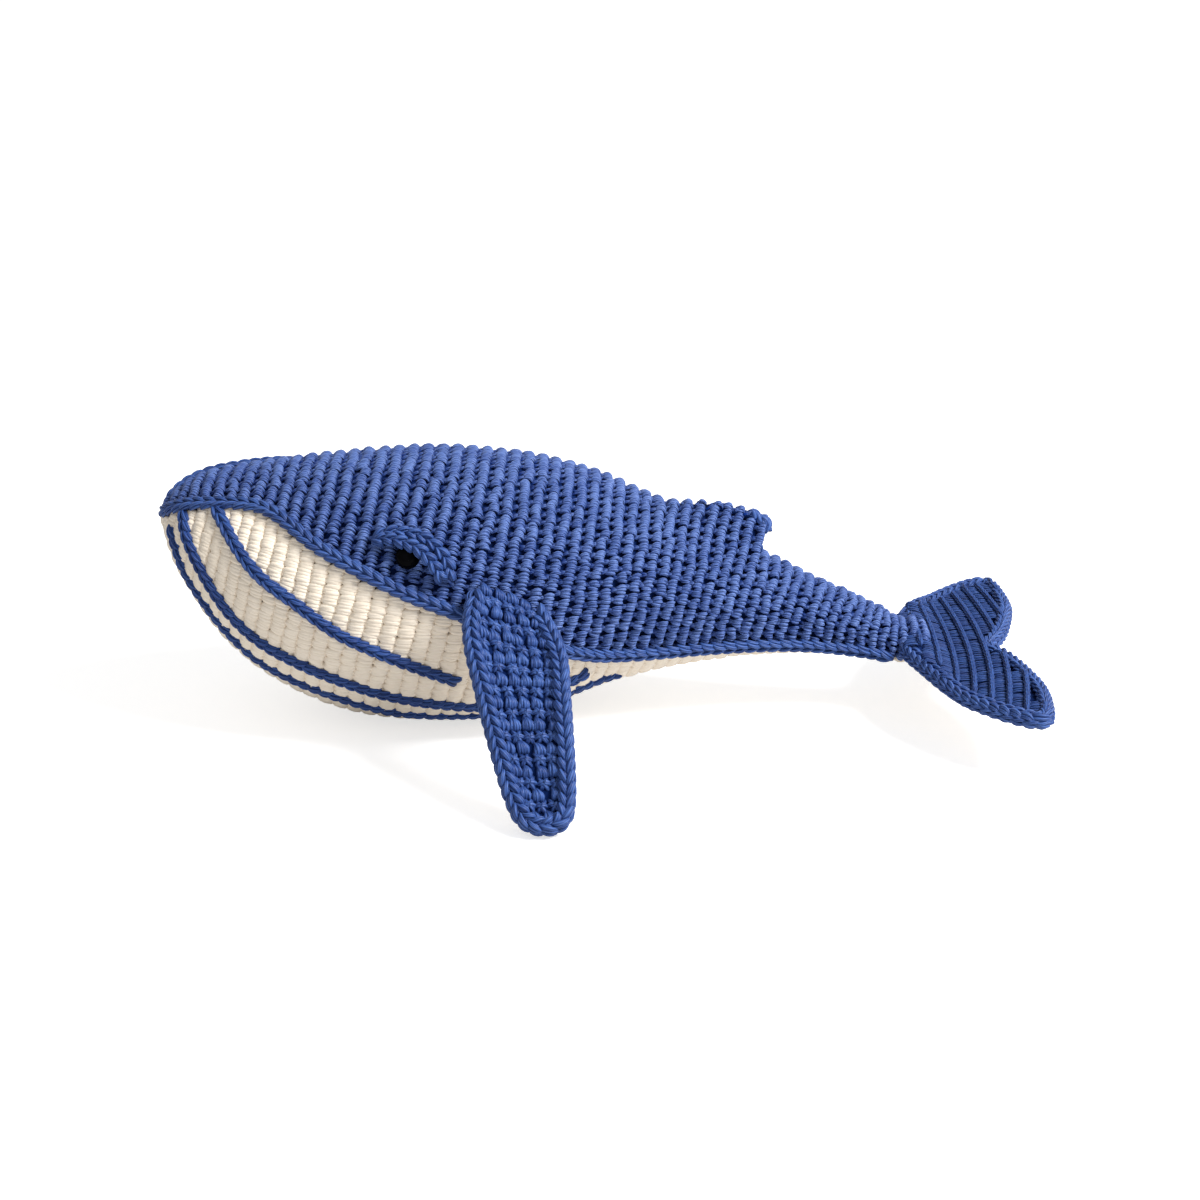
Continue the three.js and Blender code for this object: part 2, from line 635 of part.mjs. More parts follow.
// Front and rear limits of the cloth at a distance from the middle
function flukeCloth(y) {
  const middle = new THREE.Vector3(FLUKE_CHORD * (0.4 + 0.42 * y / halfSpan) - flukeNose, y, 0);
  const front = new THREE.Vector3(-flukeNose, y, 0);
  const rear = new THREE.Vector3(FLUKE_CHORD, y, 0);
  return [front, rear].map((end) => reachInside(middle, end, flukeOutline, flukeInset).x);
}

function flukePanel(layer) {
  const rootHalf = FLUKE_ROOT_WIDTH / 2 - FIT;
  const root = [0, 0.4, 0.85].map((share) => share * rootHalf);
  const lobe = [0.13, 0.19, 0.26, 0.36, 0.47, 0.58, 0.69, 0.79, 0.86, 0.9].map((share) => share * halfSpan);
  const places = [...root, ...lobe];
  const columns = [...places.slice(1).map((y) => -y).reverse(), ...places];
  const steps = [0, 0.06, 0.13, 0.25, 0.4, 0.55, 0.7, 0.85, 1];
  const grid = (outer) => columns.map((y) => {
    const [front, rear] = flukeCloth(Math.abs(y));
    const start = Math.abs(y) < rootHalf ? -flukeNose : front;
    return steps.map((step) => {
      const x = THREE.MathUtils.lerp(start, rear, step);
      const half = outer ? Math.max(flukeThickness(x), 2 * FIT) : FIT / 2;
      return new THREE.Vector3(x, y, flukeMiddle(x) + layer * half);
    });
  });
  return sheetSolid(grid(true), grid(false));
}

function flukeEdging() {
  const line = insetOutline(flukeOutline, FLUKE_EDGING_WIDTH / 2);
  const stop = (p, edge) => ({ point: new THREE.Vector3(p.x, edge * p.y, flukeMiddle(p.x)), up: UP });
  const dense = [...line.map((p) => stop(p, -1)), ...line.reverse().slice(1).map((p) => stop(p, 1))];
  const size = { width: FLUKE_EDGING_WIDTH, thickness: FLUKE_EDGING_THICKNESS };
  return cordSolid(evenStops(dense), 8, () => size);
}

function tailFluke() {
  const fluke = new THREE.Group();
  const tail = bodySurface(LAST_STATION, 0);
  fluke.position.set(tail.x + flukeNose + FLUKE_CLEARANCE, 0, FLUKE_HINGE_HEIGHT);
  fluke.add(piece('fluke_top', flukePanel(1), material(BLUE, 0.9)));
  fluke.add(piece('fluke_under', flukePanel(-1), material(CREAM, 0.92)));
  fluke.add(piece('fluke_edging', flukeEdging(), material(BLUE_DARK, 0.9)));
  return fluke;
}

const whale = new THREE.Group();
whale.add(backShell(), bellyPanel(), stuffing(), seamEdging());
for (const side of ['left', 'right']) {
  for (const name of Object.keys(throatRoutes)) {
    whale.add(throatCord(name, side));
  }
  whale.add(eye(side), eyeWasher(side), eyelid(side));
}
whale.add(pectoralFin('left', -1), pectoralFin('right', 1), tailFluke());

// The origin goes under the middle of the whole toy
whale.updateMatrixWorld(true);
const bounds = new THREE.Box3().setFromObject(whale);
whale.position.x = -(bounds.min.x + bounds.max.x) / 2;

export default whale;
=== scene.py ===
import json
import math

import bpy
import numpy as np
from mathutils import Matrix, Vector


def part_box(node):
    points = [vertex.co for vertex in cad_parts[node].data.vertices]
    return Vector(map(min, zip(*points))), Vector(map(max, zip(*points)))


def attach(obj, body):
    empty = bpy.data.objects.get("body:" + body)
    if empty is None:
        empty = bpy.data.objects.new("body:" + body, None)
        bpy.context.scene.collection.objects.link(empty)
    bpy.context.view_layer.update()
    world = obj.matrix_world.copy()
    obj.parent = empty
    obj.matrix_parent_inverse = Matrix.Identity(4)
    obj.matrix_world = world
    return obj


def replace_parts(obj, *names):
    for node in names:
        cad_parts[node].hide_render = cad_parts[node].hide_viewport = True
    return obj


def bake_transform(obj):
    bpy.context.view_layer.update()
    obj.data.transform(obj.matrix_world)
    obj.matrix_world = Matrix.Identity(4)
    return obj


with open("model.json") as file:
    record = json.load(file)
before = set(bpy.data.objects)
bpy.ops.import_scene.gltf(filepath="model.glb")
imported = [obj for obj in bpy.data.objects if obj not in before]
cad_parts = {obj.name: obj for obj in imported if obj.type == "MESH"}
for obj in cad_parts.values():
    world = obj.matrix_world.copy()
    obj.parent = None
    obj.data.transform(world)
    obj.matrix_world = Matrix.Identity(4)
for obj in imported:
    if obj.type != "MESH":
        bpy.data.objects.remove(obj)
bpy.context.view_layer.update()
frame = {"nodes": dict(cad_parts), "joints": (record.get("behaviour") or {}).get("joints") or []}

# Everything is worked out in millimetres, and turned to metres in make_mesh
MM = 0.001
RNG = np.random.default_rng(7)
SIDES = ("left", "right")

# Body
BODY_LENGTH = 310.0
BODY_DEPTH = 113.0
BODY_WIDTH = 115.0
BODY_DROP = -0.3
SNOUT_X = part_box("back_shell")[0][0] / MM
LAST_STATION = 12

# Back line and keel line at each station: share of the length, then of the depth
BACK_LINE_SHARES = [
    (0, 0.77), (0.0155, 0.838), (0.063, 0.913), (0.15, 0.95), (0.2435, 0.978), (0.35, 1),
    (0.463, 0.982), (0.568, 0.92), (0.66, 0.814), (0.763, 0.669), (0.86, 0.531), (0.95, 0.412),
    (0.985, 0.356),
]
KEEL_LINE_SHARES = [
    (0, 0.77), (0.008, 0.695), (0.0275, 0.544), (0.0855, 0.301), (0.166, 0.128), (0.26, 0.027),
    (0.3645, 0), (0.479, 0.029), (0.5935, 0.147), (0.7145, 0.221), (0.837, 0.243), (0.94, 0.223),
    (0.977, 0.199),
]
# Half the width at each station, as a share of the whole width
HALF_WIDTH_SHARES = [0, 0.096, 0.226, 0.365, 0.4565, 0.5, 0.5, 0.4435, 0.335, 0.235, 0.148, 0.102, 0.092]
# 2 is a round underside, more a square one
UNDERSIDE_SQUARENESS = [2, 2, 2, 2, 2, 2, 2, 2.1, 2.3, 2.5, 2.7, 2.8, 2.8]
# Degrees that the seam lies above the widest line, at each station
SEAM_ANGLES = [19, 30.8, 42.4, 48.6, 31.3, 17.6, 7, -5.7, -20.7, -25.2, -25.2, -26.2, -29]

# Dorsal fin, part of the back. Its start and its ends are stations.
DORSAL_HEIGHT = 14.5
DORSAL_FOOT = 15.0  # half the width of its foot
DORSAL_HOLLOW = 1.4  # 1 is a straight side, more a hollow one
DORSAL_OVERHANG = 5.0
DORSAL_START = 8.0
DORSAL_END = 9.29
DORSAL_BACK_END = 9.34
DORSAL_HEIGHT_SHARES = [
    (0, 0), (0.15, 0.24), (0.38, 0.55), (0.55, 0.78), (0.75, 0.92), (0.9, 0.97), (1, 0.97),
]

# Routes on the body: station, then degrees above the widest line
THROAT_ROUTES = {
    "upper": [
        (2.36, 44.0), (2.77, 24.6), (3.25, 11.6), (3.89, 3.6), (4.51, -5.2), (5.12, -11.4),
        (5.59, -16.6), (6.12, -23.6),
    ],
    "middle": [
        (1.74, 36.0), (1.98, 10.2), (2.41, -8.3), (2.9, -19.8), (3.44, -25.8), (4.04, -27.4),
        (4.59, -29.6), (5.2, -33.6), (5.92, -38.6), (6.5, -41.6), (7, -37.4), (7.43, -31.2), (7.66, -27),
    ],
    "lower": [
        (1.35, 6.2), (1.56, -7.4), (1.82, -19.4), (2.1, -32.4), (2.5, -37.6), (3, -41.4), (3.5, -45.6),
        (4.01, -44.8), (4.5, -44.8), (5.04, -47.8), (5.5, -51.8), (6.2, -53.8), (6.8, -52.8),
        (7.42, -47.8), (7.76, -45.8), (8.06, -44.8),
    ],
}
THROAT_LIFTS = {"upper": 0.3, "middle": 0.0, "lower": -0.7}
SEAM_END = 11.9  # its last station
SEAM_LIFT = 0.8
SEAM_SNOUT_LIFT = -2.4
EYELID_ROUTE = [
    (4.66, 36.5), (4.85, 38.5), (5.08, 37.8), (5.28, 35.6), (5.45, 31.4), (5.57, 26.5), (5.62, 22),
]
EYELID_BRAIDS = ((3.7, 3.8), (-1.0, 2.0))  # how far outside the route and above the body each braid lies

# Pectoral fins
FIN_LENGTH = 97.0
FIN_WIDTH = 38.0
FIN_TIP_SINK = 1.5
FIN_SWEEP = 16.4
FIN_ARCH = 5.0
FIN_TIP_CURL = 6.0
FIN_DISH = 1.5
FIN_ROOT_SLOPE = -20.0
FIN_OUTLINE_SHARES = [
    (0, 0.4), (0.12, 0.49), (0.25, 0.525), (0.45, 0.47), (0.7, 0.405), (0.86, 0.345), (0.95, 0.265),
    (0.99, 0.13), (1, 0),
]
FIN_ROWS_INSET = 4.8  # from the outline to the ends of the rows
FIN_EDGING_INSET = 3.2
FIN_STITCH_LIFT = 2.4  # from the middle sheet to the stitches
FIN_CLOTH_LIFT = 0.9
FIN_EDGE_LIFT = 0.6
FIN_TOP_BRAID_LIFT = 1.7  # from the middle of the edge
FIN_UNDER_BRAID_DROP = 1.2

# Fluke
FLUKE_SPAN = 158.0
FLUKE_CHORD = 56.0
FLUKE_NOSE = 6.0
FLUKE_DROP = 4.0
FLUKE_REAR_THICKNESS = 3.2
FLUKE_OUTLINE_SHARES = [
    (0, 0.14), (0.03, 0.235), (0.07, 0.33), (0.2, 0.54), (0.36, 0.71), (0.54, 0.85), (0.71, 0.95),
    (0.84, 0.99), (0.925, 0.97), (0.965, 0.9), (0.99, 0.77), (1, 0.6), (0.955, 0.41), (0.86, 0.17),
    (0.74, 0),
]
FLUKE_ROWS_INSET = 4.2
FLUKE_CLOTH_SINK = 2.5
NECK_LENGTH = 11.0
NECK_START = -4.5
NECK_ROW_PITCH = 4.6
NECK_HALF_WIDTH = 9.0
NECK_FLARE = 0.12  # share by which it widens
NECK_FLATTENING = 0.35  # share of its depth that it loses
UNDER_NECK = 2  # how far the fluke's rows run on under it

# Stitches. The crocheted rows of the body: station, then from one row to the next.
ROW_PITCHES = [
    (0, 5.4), (3, 5.7), (4.5, 6.2), (5.5, 6.4), (6.7, 5.9), (8, 5.3), (9, 5.0), (10.5, 4.8), (12, 4.6),
]
STITCH_PITCH = 4.3  # from one stitch to the next along a row
ROW_SHIFT = 0.9  # share of a stitch that each row is moved along from the row before
ROW_STRAY = 0.06  # how far a row strays from that
ROW_END_ROOM = 0.2  # share of a stitch that stays free at the ends of a row
BACK_FIRST_ROW = 0.25  # a station, as the next two are
BELLY_FIRST_ROW = 0.3
LAST_ROW = 11.97
# How far behind its seam end a row lies at the top of the back, in stations, by station
ROW_LEANS = [(0, 0), (5, 0), (6.5, -0.08), (7.5, -0.12), (9, 0), (10, 0.12), (11, 0.14), (12, 0.08)]
FIN_ROW_PITCH = 4.5
FIN_STITCH_PITCH = 5.0
FLUKE_ROW_PITCH = 7.0
FLUKE_STITCH_PITCH = 3.8
FLUKE_ROW_BEND = 9.0  # how much further back a row lies at its middle than at the lobes' tips
CREAM_ROW_WIDENING = 1.04
CREAM_STITCH_PITCH = 4.1
UNDER_SEAM = 2.2  # how far the back's rows run on under the seam's chain
BACK_PARTS = 14  # meshes that the back's stitches are shared between
BELLY_PARTS = 5
BLUE_SINK = 1.7  # the stitches are sunk so that their tops reach the body surface
CREAM_SINK = 1.2
FIN_SINK = 1.0
STRAND_JITTER = 0.035  # how far each strand strays from its form, as a share of a stitch
LEFT_SHADE = 0.4  # how much darker the yarn is where it goes down between two rows
GROUND_DEPTH = 3.4  # how far below the body surface the cloth between the blue stitches lies
EDGE_RISE = 1.3  # how much higher that cloth lies at its edges
CREAM_GROUND_DEPTH = 2.9
CREST_FLATTENING = 0.5  # share of their height that the stitches lose along the crest of the back
FLOOR_GAP = 0.05 * MM  # clearance that the yarn keeps to the floor

# Yarn
TUBE_SIDES = 8
TUBE_END = 0.1  # share of a strand's radius left at its ends
PLY_PITCH = 11.0  # length of yarn in which one ply takes the next one's place
PLY_ROUNDNESS = 0.6  # under 1 for narrow grooves between the plies

# Braided chains: length of a chain stitch, width, radius of a leg, height and reach
SEAM_BRAID = (4.8, 6.4, 1.35, 1.3, 1.4)
THROAT_BRAID = (4.4, 5.8, 1.25, 1.2, 1.4)
DORSAL_BRAID = (4.2, 5.0, 1.2, 0.9, 1.2)
EYELID_BRAID = (4.4, 6.2, 1.4, 1.3, 1.0)
FIN_TOP_BRAID = (4.5, 7.4, 1.45, 1.5, 1.2)
FIN_UNDER_BRAID = (5.0, 5.6, 1.3, 1.0, 1.0)
FLUKE_TOP_BRAID = (4.6, 6.8, 1.45, 1.4, 1.25)
FLUKE_UNDER_BRAID = (5.2, 5.6, 1.3, 1.0, 1.2)
FLUKE_ROW_BRAID = (FLUKE_STITCH_PITCH, 2.8, 0.8, 0.9, 1.3)
RIM_BRAID = (4.8, 4.4, 1.2, 0.8, 1.2)
RIM_OUT = 1.6  # how far outside the other two braids of a fin or the fluke the rim's braid lies
LEG_STRANDS = 3  # strands of yarn in each leg
LEG_SHIFT = 0.12  # share of a stitch that the legs of one side lie ahead of the other side's


def lerp(a, b, t):
    return a + (b - a) * t


def smoothstep(x, low, high):
    t = np.clip((x - low) / (high - low), 0, 1)
    return t * t * (3 - 2 * t)


def along_stations(values, t):
    """Value at t of a smooth curve through equally spaced values."""
    v = np.asarray(values, float)
    last = len(v) - 1
    place = np.clip(t, 0, last)
    i = np.minimum(np.floor(place).astype(int), last - 1)
    f = place - i
    p1 = v[i]
    p2 = v[i + 1]
    p0 = np.where(i > 0, v[np.maximum(i - 1, 0)], 2 * p1 - p2)
    p3 = np.where(i < last - 1, v[np.minimum(i + 2, last)], 2 * p2 - p1)
    return 0.5 * (2 * p1 + (p2 - p0) * f + (2 * p0 - 5 * p1 + 4 * p2 - p3) * f ** 2
                  + (3 * p1 - p0 - 3 * p2 + p3) * f ** 3)


def from_table(table, x):
    """Value at x of straight lines between the rows of a table."""
    return np.interp(x, *zip(*table))


def unit(v):
    return v / np.maximum(np.linalg.norm(v, axis=-1, keepdims=True), 1e-9)


def lengths_along(path):
    """Length of a path up to each of its points."""
    return np.concatenate([[0], np.cumsum(np.linalg.norm(np.diff(path, axis=0), axis=1))])


def points_along(path, length, marks):
    """Points of a path at marks along its length."""
    return np.stack([np.interp(marks, length, path[:, k]) for k in range(path.shape[1])], -1)


def resample(control, count):
    """Smooth curve through control points, at count even steps."""
    control = np.asarray(control, float)
    t = np.linspace(0, len(control) - 1, count)
    return np.stack([along_stations(control[:, k], t) for k in range(control.shape[1])], -1)


def joint_place(body):
    """Where the hinge of a body lies."""
    joint = next(j for j in frame["joints"] if j["child"] == body)
    return np.array(joint["pos_m"]) / MM


def outward(side):
    """Direction along Y that leads away from the body."""
    return -1 if side == "left" else 1


# Body surface. Angle -90 is the keel, 0 the left side, 90 the back, 180 the right side.

def half_width_at(station):
    return along_stations(HALF_WIDTH_SHARES, station) * BODY_WIDTH


def dorsal_rise(station, angle):
    share = from_table(DORSAL_HEIGHT_SHARES, (station - DORSAL_START) / (DORSAL_END - DORSAL_START))
    share = share * (1 - np.clip((station - DORSAL_END) / (DORSAL_BACK_END - DORSAL_END), 0, 1))
    sideways = half_width_at(station) * np.abs(np.cos(np.radians(angle)))
    above = np.sin(np.radians(angle)) > 0
    return share * above * np.clip(1 - sideways / DORSAL_FOOT, 0, 1) ** DORSAL_HOLLOW


def body_surface(station, angle, dorsal=True):
    station, angle = np.broadcast_arrays(np.asarray(station, float), np.asarray(angle, float))
    sine = np.sin(np.radians(angle))
    cosine = np.cos(np.radians(angle))
    power = 2 / np.where(sine < 0, along_stations(UNDERSIDE_SQUARENESS, station), 2)
    rise = (1 + np.sign(sine) * np.abs(sine) ** power) / 2
    share_x, share_z = [lerp(along_stations(keel, station), along_stations(back, station), rise)
                        for keel, back in zip(zip(*KEEL_LINE_SHARES), zip(*BACK_LINE_SHARES))]
    x = share_x * BODY_LENGTH + SNOUT_X
    y = -np.sign(cosine) * np.abs(cosine) ** power * half_width_at(station)
    z = share_z * BODY_DEPTH + BODY_DROP
    if dorsal:
        up = dorsal_rise(station, angle)
        x = x + up * DORSAL_OVERHANG
        z = z + up * DORSAL_HEIGHT
    return np.stack([x, y, z], -1)


def body_normal(station, angle, dorsal=True):
    step = 0.01
    low = np.maximum(np.asarray(station, float) - step, 0.0)
    high = np.minimum(low + 2 * step, LAST_STATION)
    angle = np.asarray(angle)
    along = body_surface(high, angle, dorsal) - body_surface(low, angle, dorsal)
    around = body_surface(station, angle + 1, dorsal) - body_surface(station, angle - 1, dorsal)
    normal = np.cross(along, around)
    flat = np.linalg.norm(normal, axis=-1, keepdims=True) < 1e-6
    return unit(np.where(flat, np.array([-1.0, 0, 0]), normal))


def on_body(station, angle, lift, dorsal=True):
    normal = body_normal(station, angle, dorsal)
    return body_surface(station, angle, dorsal) + normal * np.asarray(lift)[..., None]


# Meshes

def make_mesh(name, points, faces, material, uv=None, shade=None):
    """One smooth mesh object from points in millimetres and quads, with per-corner uv and per-point shade."""
    mesh = bpy.data.meshes.new(name)
    points = np.asarray(points, np.float32) * MM
    # The toy rests on the floor, so nothing goes below it
    points[:, 2] = np.maximum(points[:, 2], FLOOR_GAP)
    faces = np.asarray(faces, np.int32)
    mesh.vertices.add(len(points))
    mesh.vertices.foreach_set("co", points.ravel())
    mesh.loops.add(faces.size)
    mesh.loops.foreach_set("vertex_index", faces.ravel())
    mesh.polygons.add(len(faces))
    mesh.polygons.foreach_set("loop_start", np.arange(0, faces.size, faces.shape[1], dtype=np.int32))
    mesh.update(calc_edges=True)
    mesh.polygons.foreach_set("use_smooth", np.ones(len(faces), bool))
    if uv is not None:
        layer = mesh.uv_layers.new(name="yarn")
        layer.data.foreach_set("uv", np.asarray(uv, np.float32).ravel())
        attribute = mesh.attributes.new("shade", "FLOAT_VECTOR", "POINT")
        attribute.data.foreach_set("vector", np.asarray(shade, np.float32).ravel())
    mesh.materials.append(material)
    mesh.validate()
    obj = bpy.data.objects.new(name, mesh)
    bpy.context.scene.collection.objects.link(obj)
    return obj


class Strands:
    """Collects tubes of yarn and makes them one mesh."""

    def __init__(self):
        self.points = []
        self.faces = []
        self.uv = []
        self.shade = []
        self.total = 0

    def add(self, path, reference, radius, depth=np.zeros((1, 1)), tone=None):
        """path and reference are (strands, steps, 3), and reference points across the strand. depth, from 0
        to 1, is how low in the stitches the yarn lies, painted as shade by the yarn material; tone is its own
        shade."""
        count, steps = path.shape[:2]
        radius = np.broadcast_to(radius, (count, steps)).copy()
        radius[:, 0] *= TUBE_END
        radius[:, -1] *= TUBE_END
        ahead = unit(np.gradient(path, axis=1))
        side = unit(reference - np.sum(reference * ahead, -1, keepdims=True) * ahead)
        other = np.cross(ahead, side)
        turn = (np.arange(TUBE_SIDES) * 2 * np.pi / TUBE_SIDES)[None, None, :, None]
        ring = side[:, :, None] * np.cos(turn) + other[:, :, None] * np.sin(turn)
        points = path[:, :, None] + ring * radius[:, :, None, None]
        length = np.cumsum(np.linalg.norm(np.diff(path, axis=1, prepend=path[:, :1]), axis=-1), axis=1)
        passed = length / PLY_PITCH + RNG.uniform(0, 1, (count, 1))
        base = self.total + np.arange(count)[:, None, None] * steps * TUBE_SIDES
        i = base + np.arange(steps - 1)[None, :, None] * TUBE_SIDES
        j = np.arange(TUBE_SIDES)[None, None, :]
        k = (j + 1) % TUBE_SIDES
        quads = np.stack([i + j, i + k, i + TUBE_SIDES + k, i + TUBE_SIDES + j], -1)
        uv = np.zeros(quads.shape + (2,))
        uv[..., :2, 0] = passed[:, :-1, None, None]
        uv[..., 2:, 0] = passed[:, 1:, None, None]
        uv[..., [0, 3], 1] = (j / TUBE_SIDES)[..., None]
        uv[..., [1, 2], 1] = ((j + 1) / TUBE_SIDES)[..., None]
        tone = RNG.uniform(0, 1, (count, 1)) if tone is None else tone
        shade = np.zeros(points.shape)
        shade[..., 0] = depth[..., None]
        shade[..., 1] = tone[..., None]
        self.points.append(points.reshape(-1, 3))
        self.faces.append(quads.reshape(-1, 4))
        self.uv.append(uv.reshape(-1, 2))
        self.shade.append(shade.reshape(-1, 3))
        self.total += count * steps * TUBE_SIDES

    def build(self, name, material):
        return make_mesh(name, np.concatenate(self.points), np.concatenate(self.faces), material,
                         np.concatenate(self.uv), np.concatenate(self.shade))


# Materials

def new_material(name):
    material = bpy.data.materials.new(name)
    material.use_nodes = True
    tree = material.node_tree
    return material, tree, tree.nodes["Principled BSDF"]


def set_inputs(tree, node, values):
    """Sets inputs by name or number, and links those whose value is another node's output."""
    for name, value in values.items():
        if isinstance(value, bpy.types.NodeSocket):
            tree.links.new(value, node.inputs[name])
        else:
            node.inputs[name].default_value = value


def math_node(tree, operation, *values):
    node = tree.nodes.new("ShaderNodeMath")
    node.operation = operation
    set_inputs(tree, node, dict(enumerate(values)))
    return node.outputs[0]


def mix_colour(tree, factor, a, b):
    node = tree.nodes.new("ShaderNodeMix")
    node.data_type = "RGBA"
    set_inputs(tree, node, {"Factor": factor, 6: a, 7: b})
    return node.outputs[2]


def noise_node(tree, vector, scale, detail):
    node = tree.nodes.new("ShaderNodeTexNoise")
    set_inputs(tree, node, {"Vector": vector, "Scale": scale, "Detail": detail})
    return node.outputs[0]


def object_coordinates(tree):
    return tree.nodes.new("ShaderNodeTexCoord").outputs["Object"]


def bump_node(tree, height, strength, depth):
    node = tree.nodes.new("ShaderNodeBump")
    set_inputs(tree, node, {"Height": height, "Strength": strength, "Distance": depth * MM})
    return node.outputs[0]


def yarn_material(name, light, dark, pit, plies, ply_depth):
    """Twisted yarn: plies that wind round each strand and fine fibres, with painted highlight streaks along
    the strands, painted shade in the grooves between the plies, and painted shade low in the stitches.
    """
    material, tree, shader = new_material(name)

    def calc(operation, *values):
        return math_node(tree, operation, *values)

    uv = tree.nodes.new("ShaderNodeUVMap")
    uv.uv_map = "yarn"
    split = tree.nodes.new("ShaderNodeSeparateXYZ")
    tree.links.new(uv.outputs[0], split.inputs[0])
    wound = calc("ADD", calc("MULTIPLY", split.outputs[1], float(plies)), split.outputs[0])
    ply = calc("POWER", calc("ABSOLUTE", calc("SINE", calc("MULTIPLY", wound, math.pi))), PLY_ROUNDNESS)
    # Painted highlight streaks along the strands; the same noise also bumps the yarn
    stretch = tree.nodes.new("ShaderNodeMapping")
    set_inputs(tree, stretch, {"Vector": uv.outputs[0], "Scale": (3.0, 16.0, 1.0)})
    streak = noise_node(tree, stretch.outputs[0], 1.0, 2)
    coordinates = object_coordinates(tree)
    fibre = noise_node(tree, coordinates, 2200, 4)
    patch = noise_node(tree, coordinates, 45, 3)

    shade = tree.nodes.new("ShaderNodeAttribute")
    shade.attribute_name = "shade"
    shade_split = tree.nodes.new("ShaderNodeSeparateXYZ")
    tree.links.new(shade.outputs["Vector"], shade_split.inputs[0])
    depth = shade_split.outputs[0]
    # tone mixes the strand's own tone and random patches with painted highlight streaks, and with painted
    # shade in the grooves between the plies
    tone = calc("ADD", calc("MULTIPLY", shade_split.outputs[1], 0.3), calc("MULTIPLY", patch, 0.25))
    tone = calc("ADD", tone, calc("MULTIPLY", streak, 0.4))
    tone = calc("ADD", tone, calc("MULTIPLY", calc("SUBTRACT", 1.0, ply), 0.6))
    yarn = mix_colour(tree, calc("MINIMUM", tone, 1.0), light, dark)
    height = calc("ADD", ply, calc("MULTIPLY", streak, 0.6))
    height = calc("ADD", height, calc("MULTIPLY", fibre, 0.3))
    # Painted shade: yarn low in the stitches goes to the pit colour and loses its specular
    set_inputs(tree, shader, {
        "Base Color": mix_colour(tree, depth, yarn, pit),
        "Specular IOR Level": calc("MULTIPLY", calc("SUBTRACT", 1.0, depth), 0.35),
        "Roughness": 0.5, "Sheen Weight": 0.05, "Sheen Roughness": 0.5,
        "Normal": bump_node(tree, height, 0.9, ply_depth)})
    return material


def shade_cloth_material(name, colour, dark):
    """The cloth that shows between the stitches, dark as painted shade in the holes."""
    material, tree, shader = new_material(name)
    noise = noise_node(tree, object_coordinates(tree), 900, 5)
    set_inputs(tree, shader, {
        "Base Color": mix_colour(tree, noise, colour, dark), "Roughness": 0.95,
        "Specular IOR Level": 0.1, "Normal": bump_node(tree, noise, 0.7, 0.3)})
    return material


BLUE_YARN = yarn_material("blue_yarn", (0.18, 0.29, 0.65, 1), (0.011, 0.044, 0.225, 1),
                          (0.001, 0.019, 0.15, 1), 5, 0.3)
# The chains, the fins' tops, the throat cords and the fluke are the same yarn as the body; these two darker
# copies of it are painted shade
BLUE_CHAIN_SHADED = yarn_material("blue_chain", (0.07, 0.16, 0.47, 1), (0.004, 0.024, 0.14, 1),
                           (0.001, 0.012, 0.09, 1), 4, 0.22)
BLUE_RIB_SHADED = yarn_material("blue_rib_shaded", (0.04, 0.12, 0.4, 1), (0.003, 0.02, 0.13, 1),
                         (0.001, 0.01, 0.08, 1), 4, 0.22)
CREAM_YARN = yarn_material("cream_yarn", (0.92, 0.83, 0.71, 1), (0.85, 0.745, 0.61, 1),
                           (0.66, 0.54, 0.41, 1), 5, 0.08)
# Painted shade: the cloth under the stitches is much darker than the yarn, for the shade in the holes between
# them
BLUE_SHADE_CLOTH = shade_cloth_material("blue_shade_ground", (0.003, 0.017, 0.1, 1), (0.002, 0.011, 0.06, 1))
CREAM_SHADE_CLOTH = shade_cloth_material("cream_shade_ground", (0.4, 0.3, 0.19, 1), (0.28, 0.2, 0.12, 1))


# Stitch forms. A strand's points are: share of a row across it, share of a stitch along it, height, radius.
# A profile's points leave out the second.

def stitch_form(offsets, profile, bend, gather, gather_from, radius):
    """Strands of one stitch that lie side by side over a row, like a fan that opens towards the tail.
    offsets: share of a stitch, and how much lower the strand starts; bend bows the strands, and gather draws
    their starts together, from gather_from on."""
    form = []
    for offset, low in offsets:
        strand = []
        for u, height, share in profile:
            spread = 1 - gather * np.clip(gather_from - u, 0, 0.4) / 0.4
            drop = low * np.clip(0.5 - u, 0, 1)
            strand.append((u, offset * spread - bend * (u - 0.1) ** 2, height - drop, radius * share))
        form.append(strand)
    return form


# A blue stitch is three strands over the cord that runs along each row, and two legs that go down by a hole
BLUE_PROFILE = [
    (-0.24, -1.2, 0.6), (-0.14, 0.2, 0.9), (0.0, 1.05, 1.0), (0.15, 1.4, 1.0), (0.29, 1.0, 0.88),
    (0.41, -0.1, 0.68), (0.49, -1.7, 0.5),
]
BLUE_LEGS = [
    [(-0.74, -0.3, -2.4, 0.55), (-0.54, -0.22, -1.3, 0.66), (-0.34, -0.12, -0.6, 0.72),
     (-0.1, -0.04, 0.0, 0.7)],
    [(-0.74, 0.14, -2.5, 0.55), (-0.54, 0.08, -1.5, 0.66), (-0.34, 0.03, -0.8, 0.72), (-0.1, 0.0, 0.0, 0.7)],
]
BLUE_FAN = stitch_form([(-0.34, 0.15), (0.0, 0.0), (0.34, 0.15)], BLUE_PROFILE, 1.2, 0.6, 0.05, 0.8)
BLUE_STITCH = BLUE_FAN + BLUE_LEGS

CREAM_PROFILE = [
    (-0.6, -1.6, 0.6), (-0.46, -0.3, 0.85), (-0.2, 0.35, 1.0), (0.08, 0.5, 1.0), (0.32, 0.3, 1.0),
    (0.45, -0.2, 0.9), (0.54, -1.2, 0.6),
]
CREAM_STITCH = stitch_form([(-0.32, 0.0), (0.0, 0.0), (0.32, 0.0)], CREAM_PROFILE, 0.2, 0.8, -0.15, 1.4)

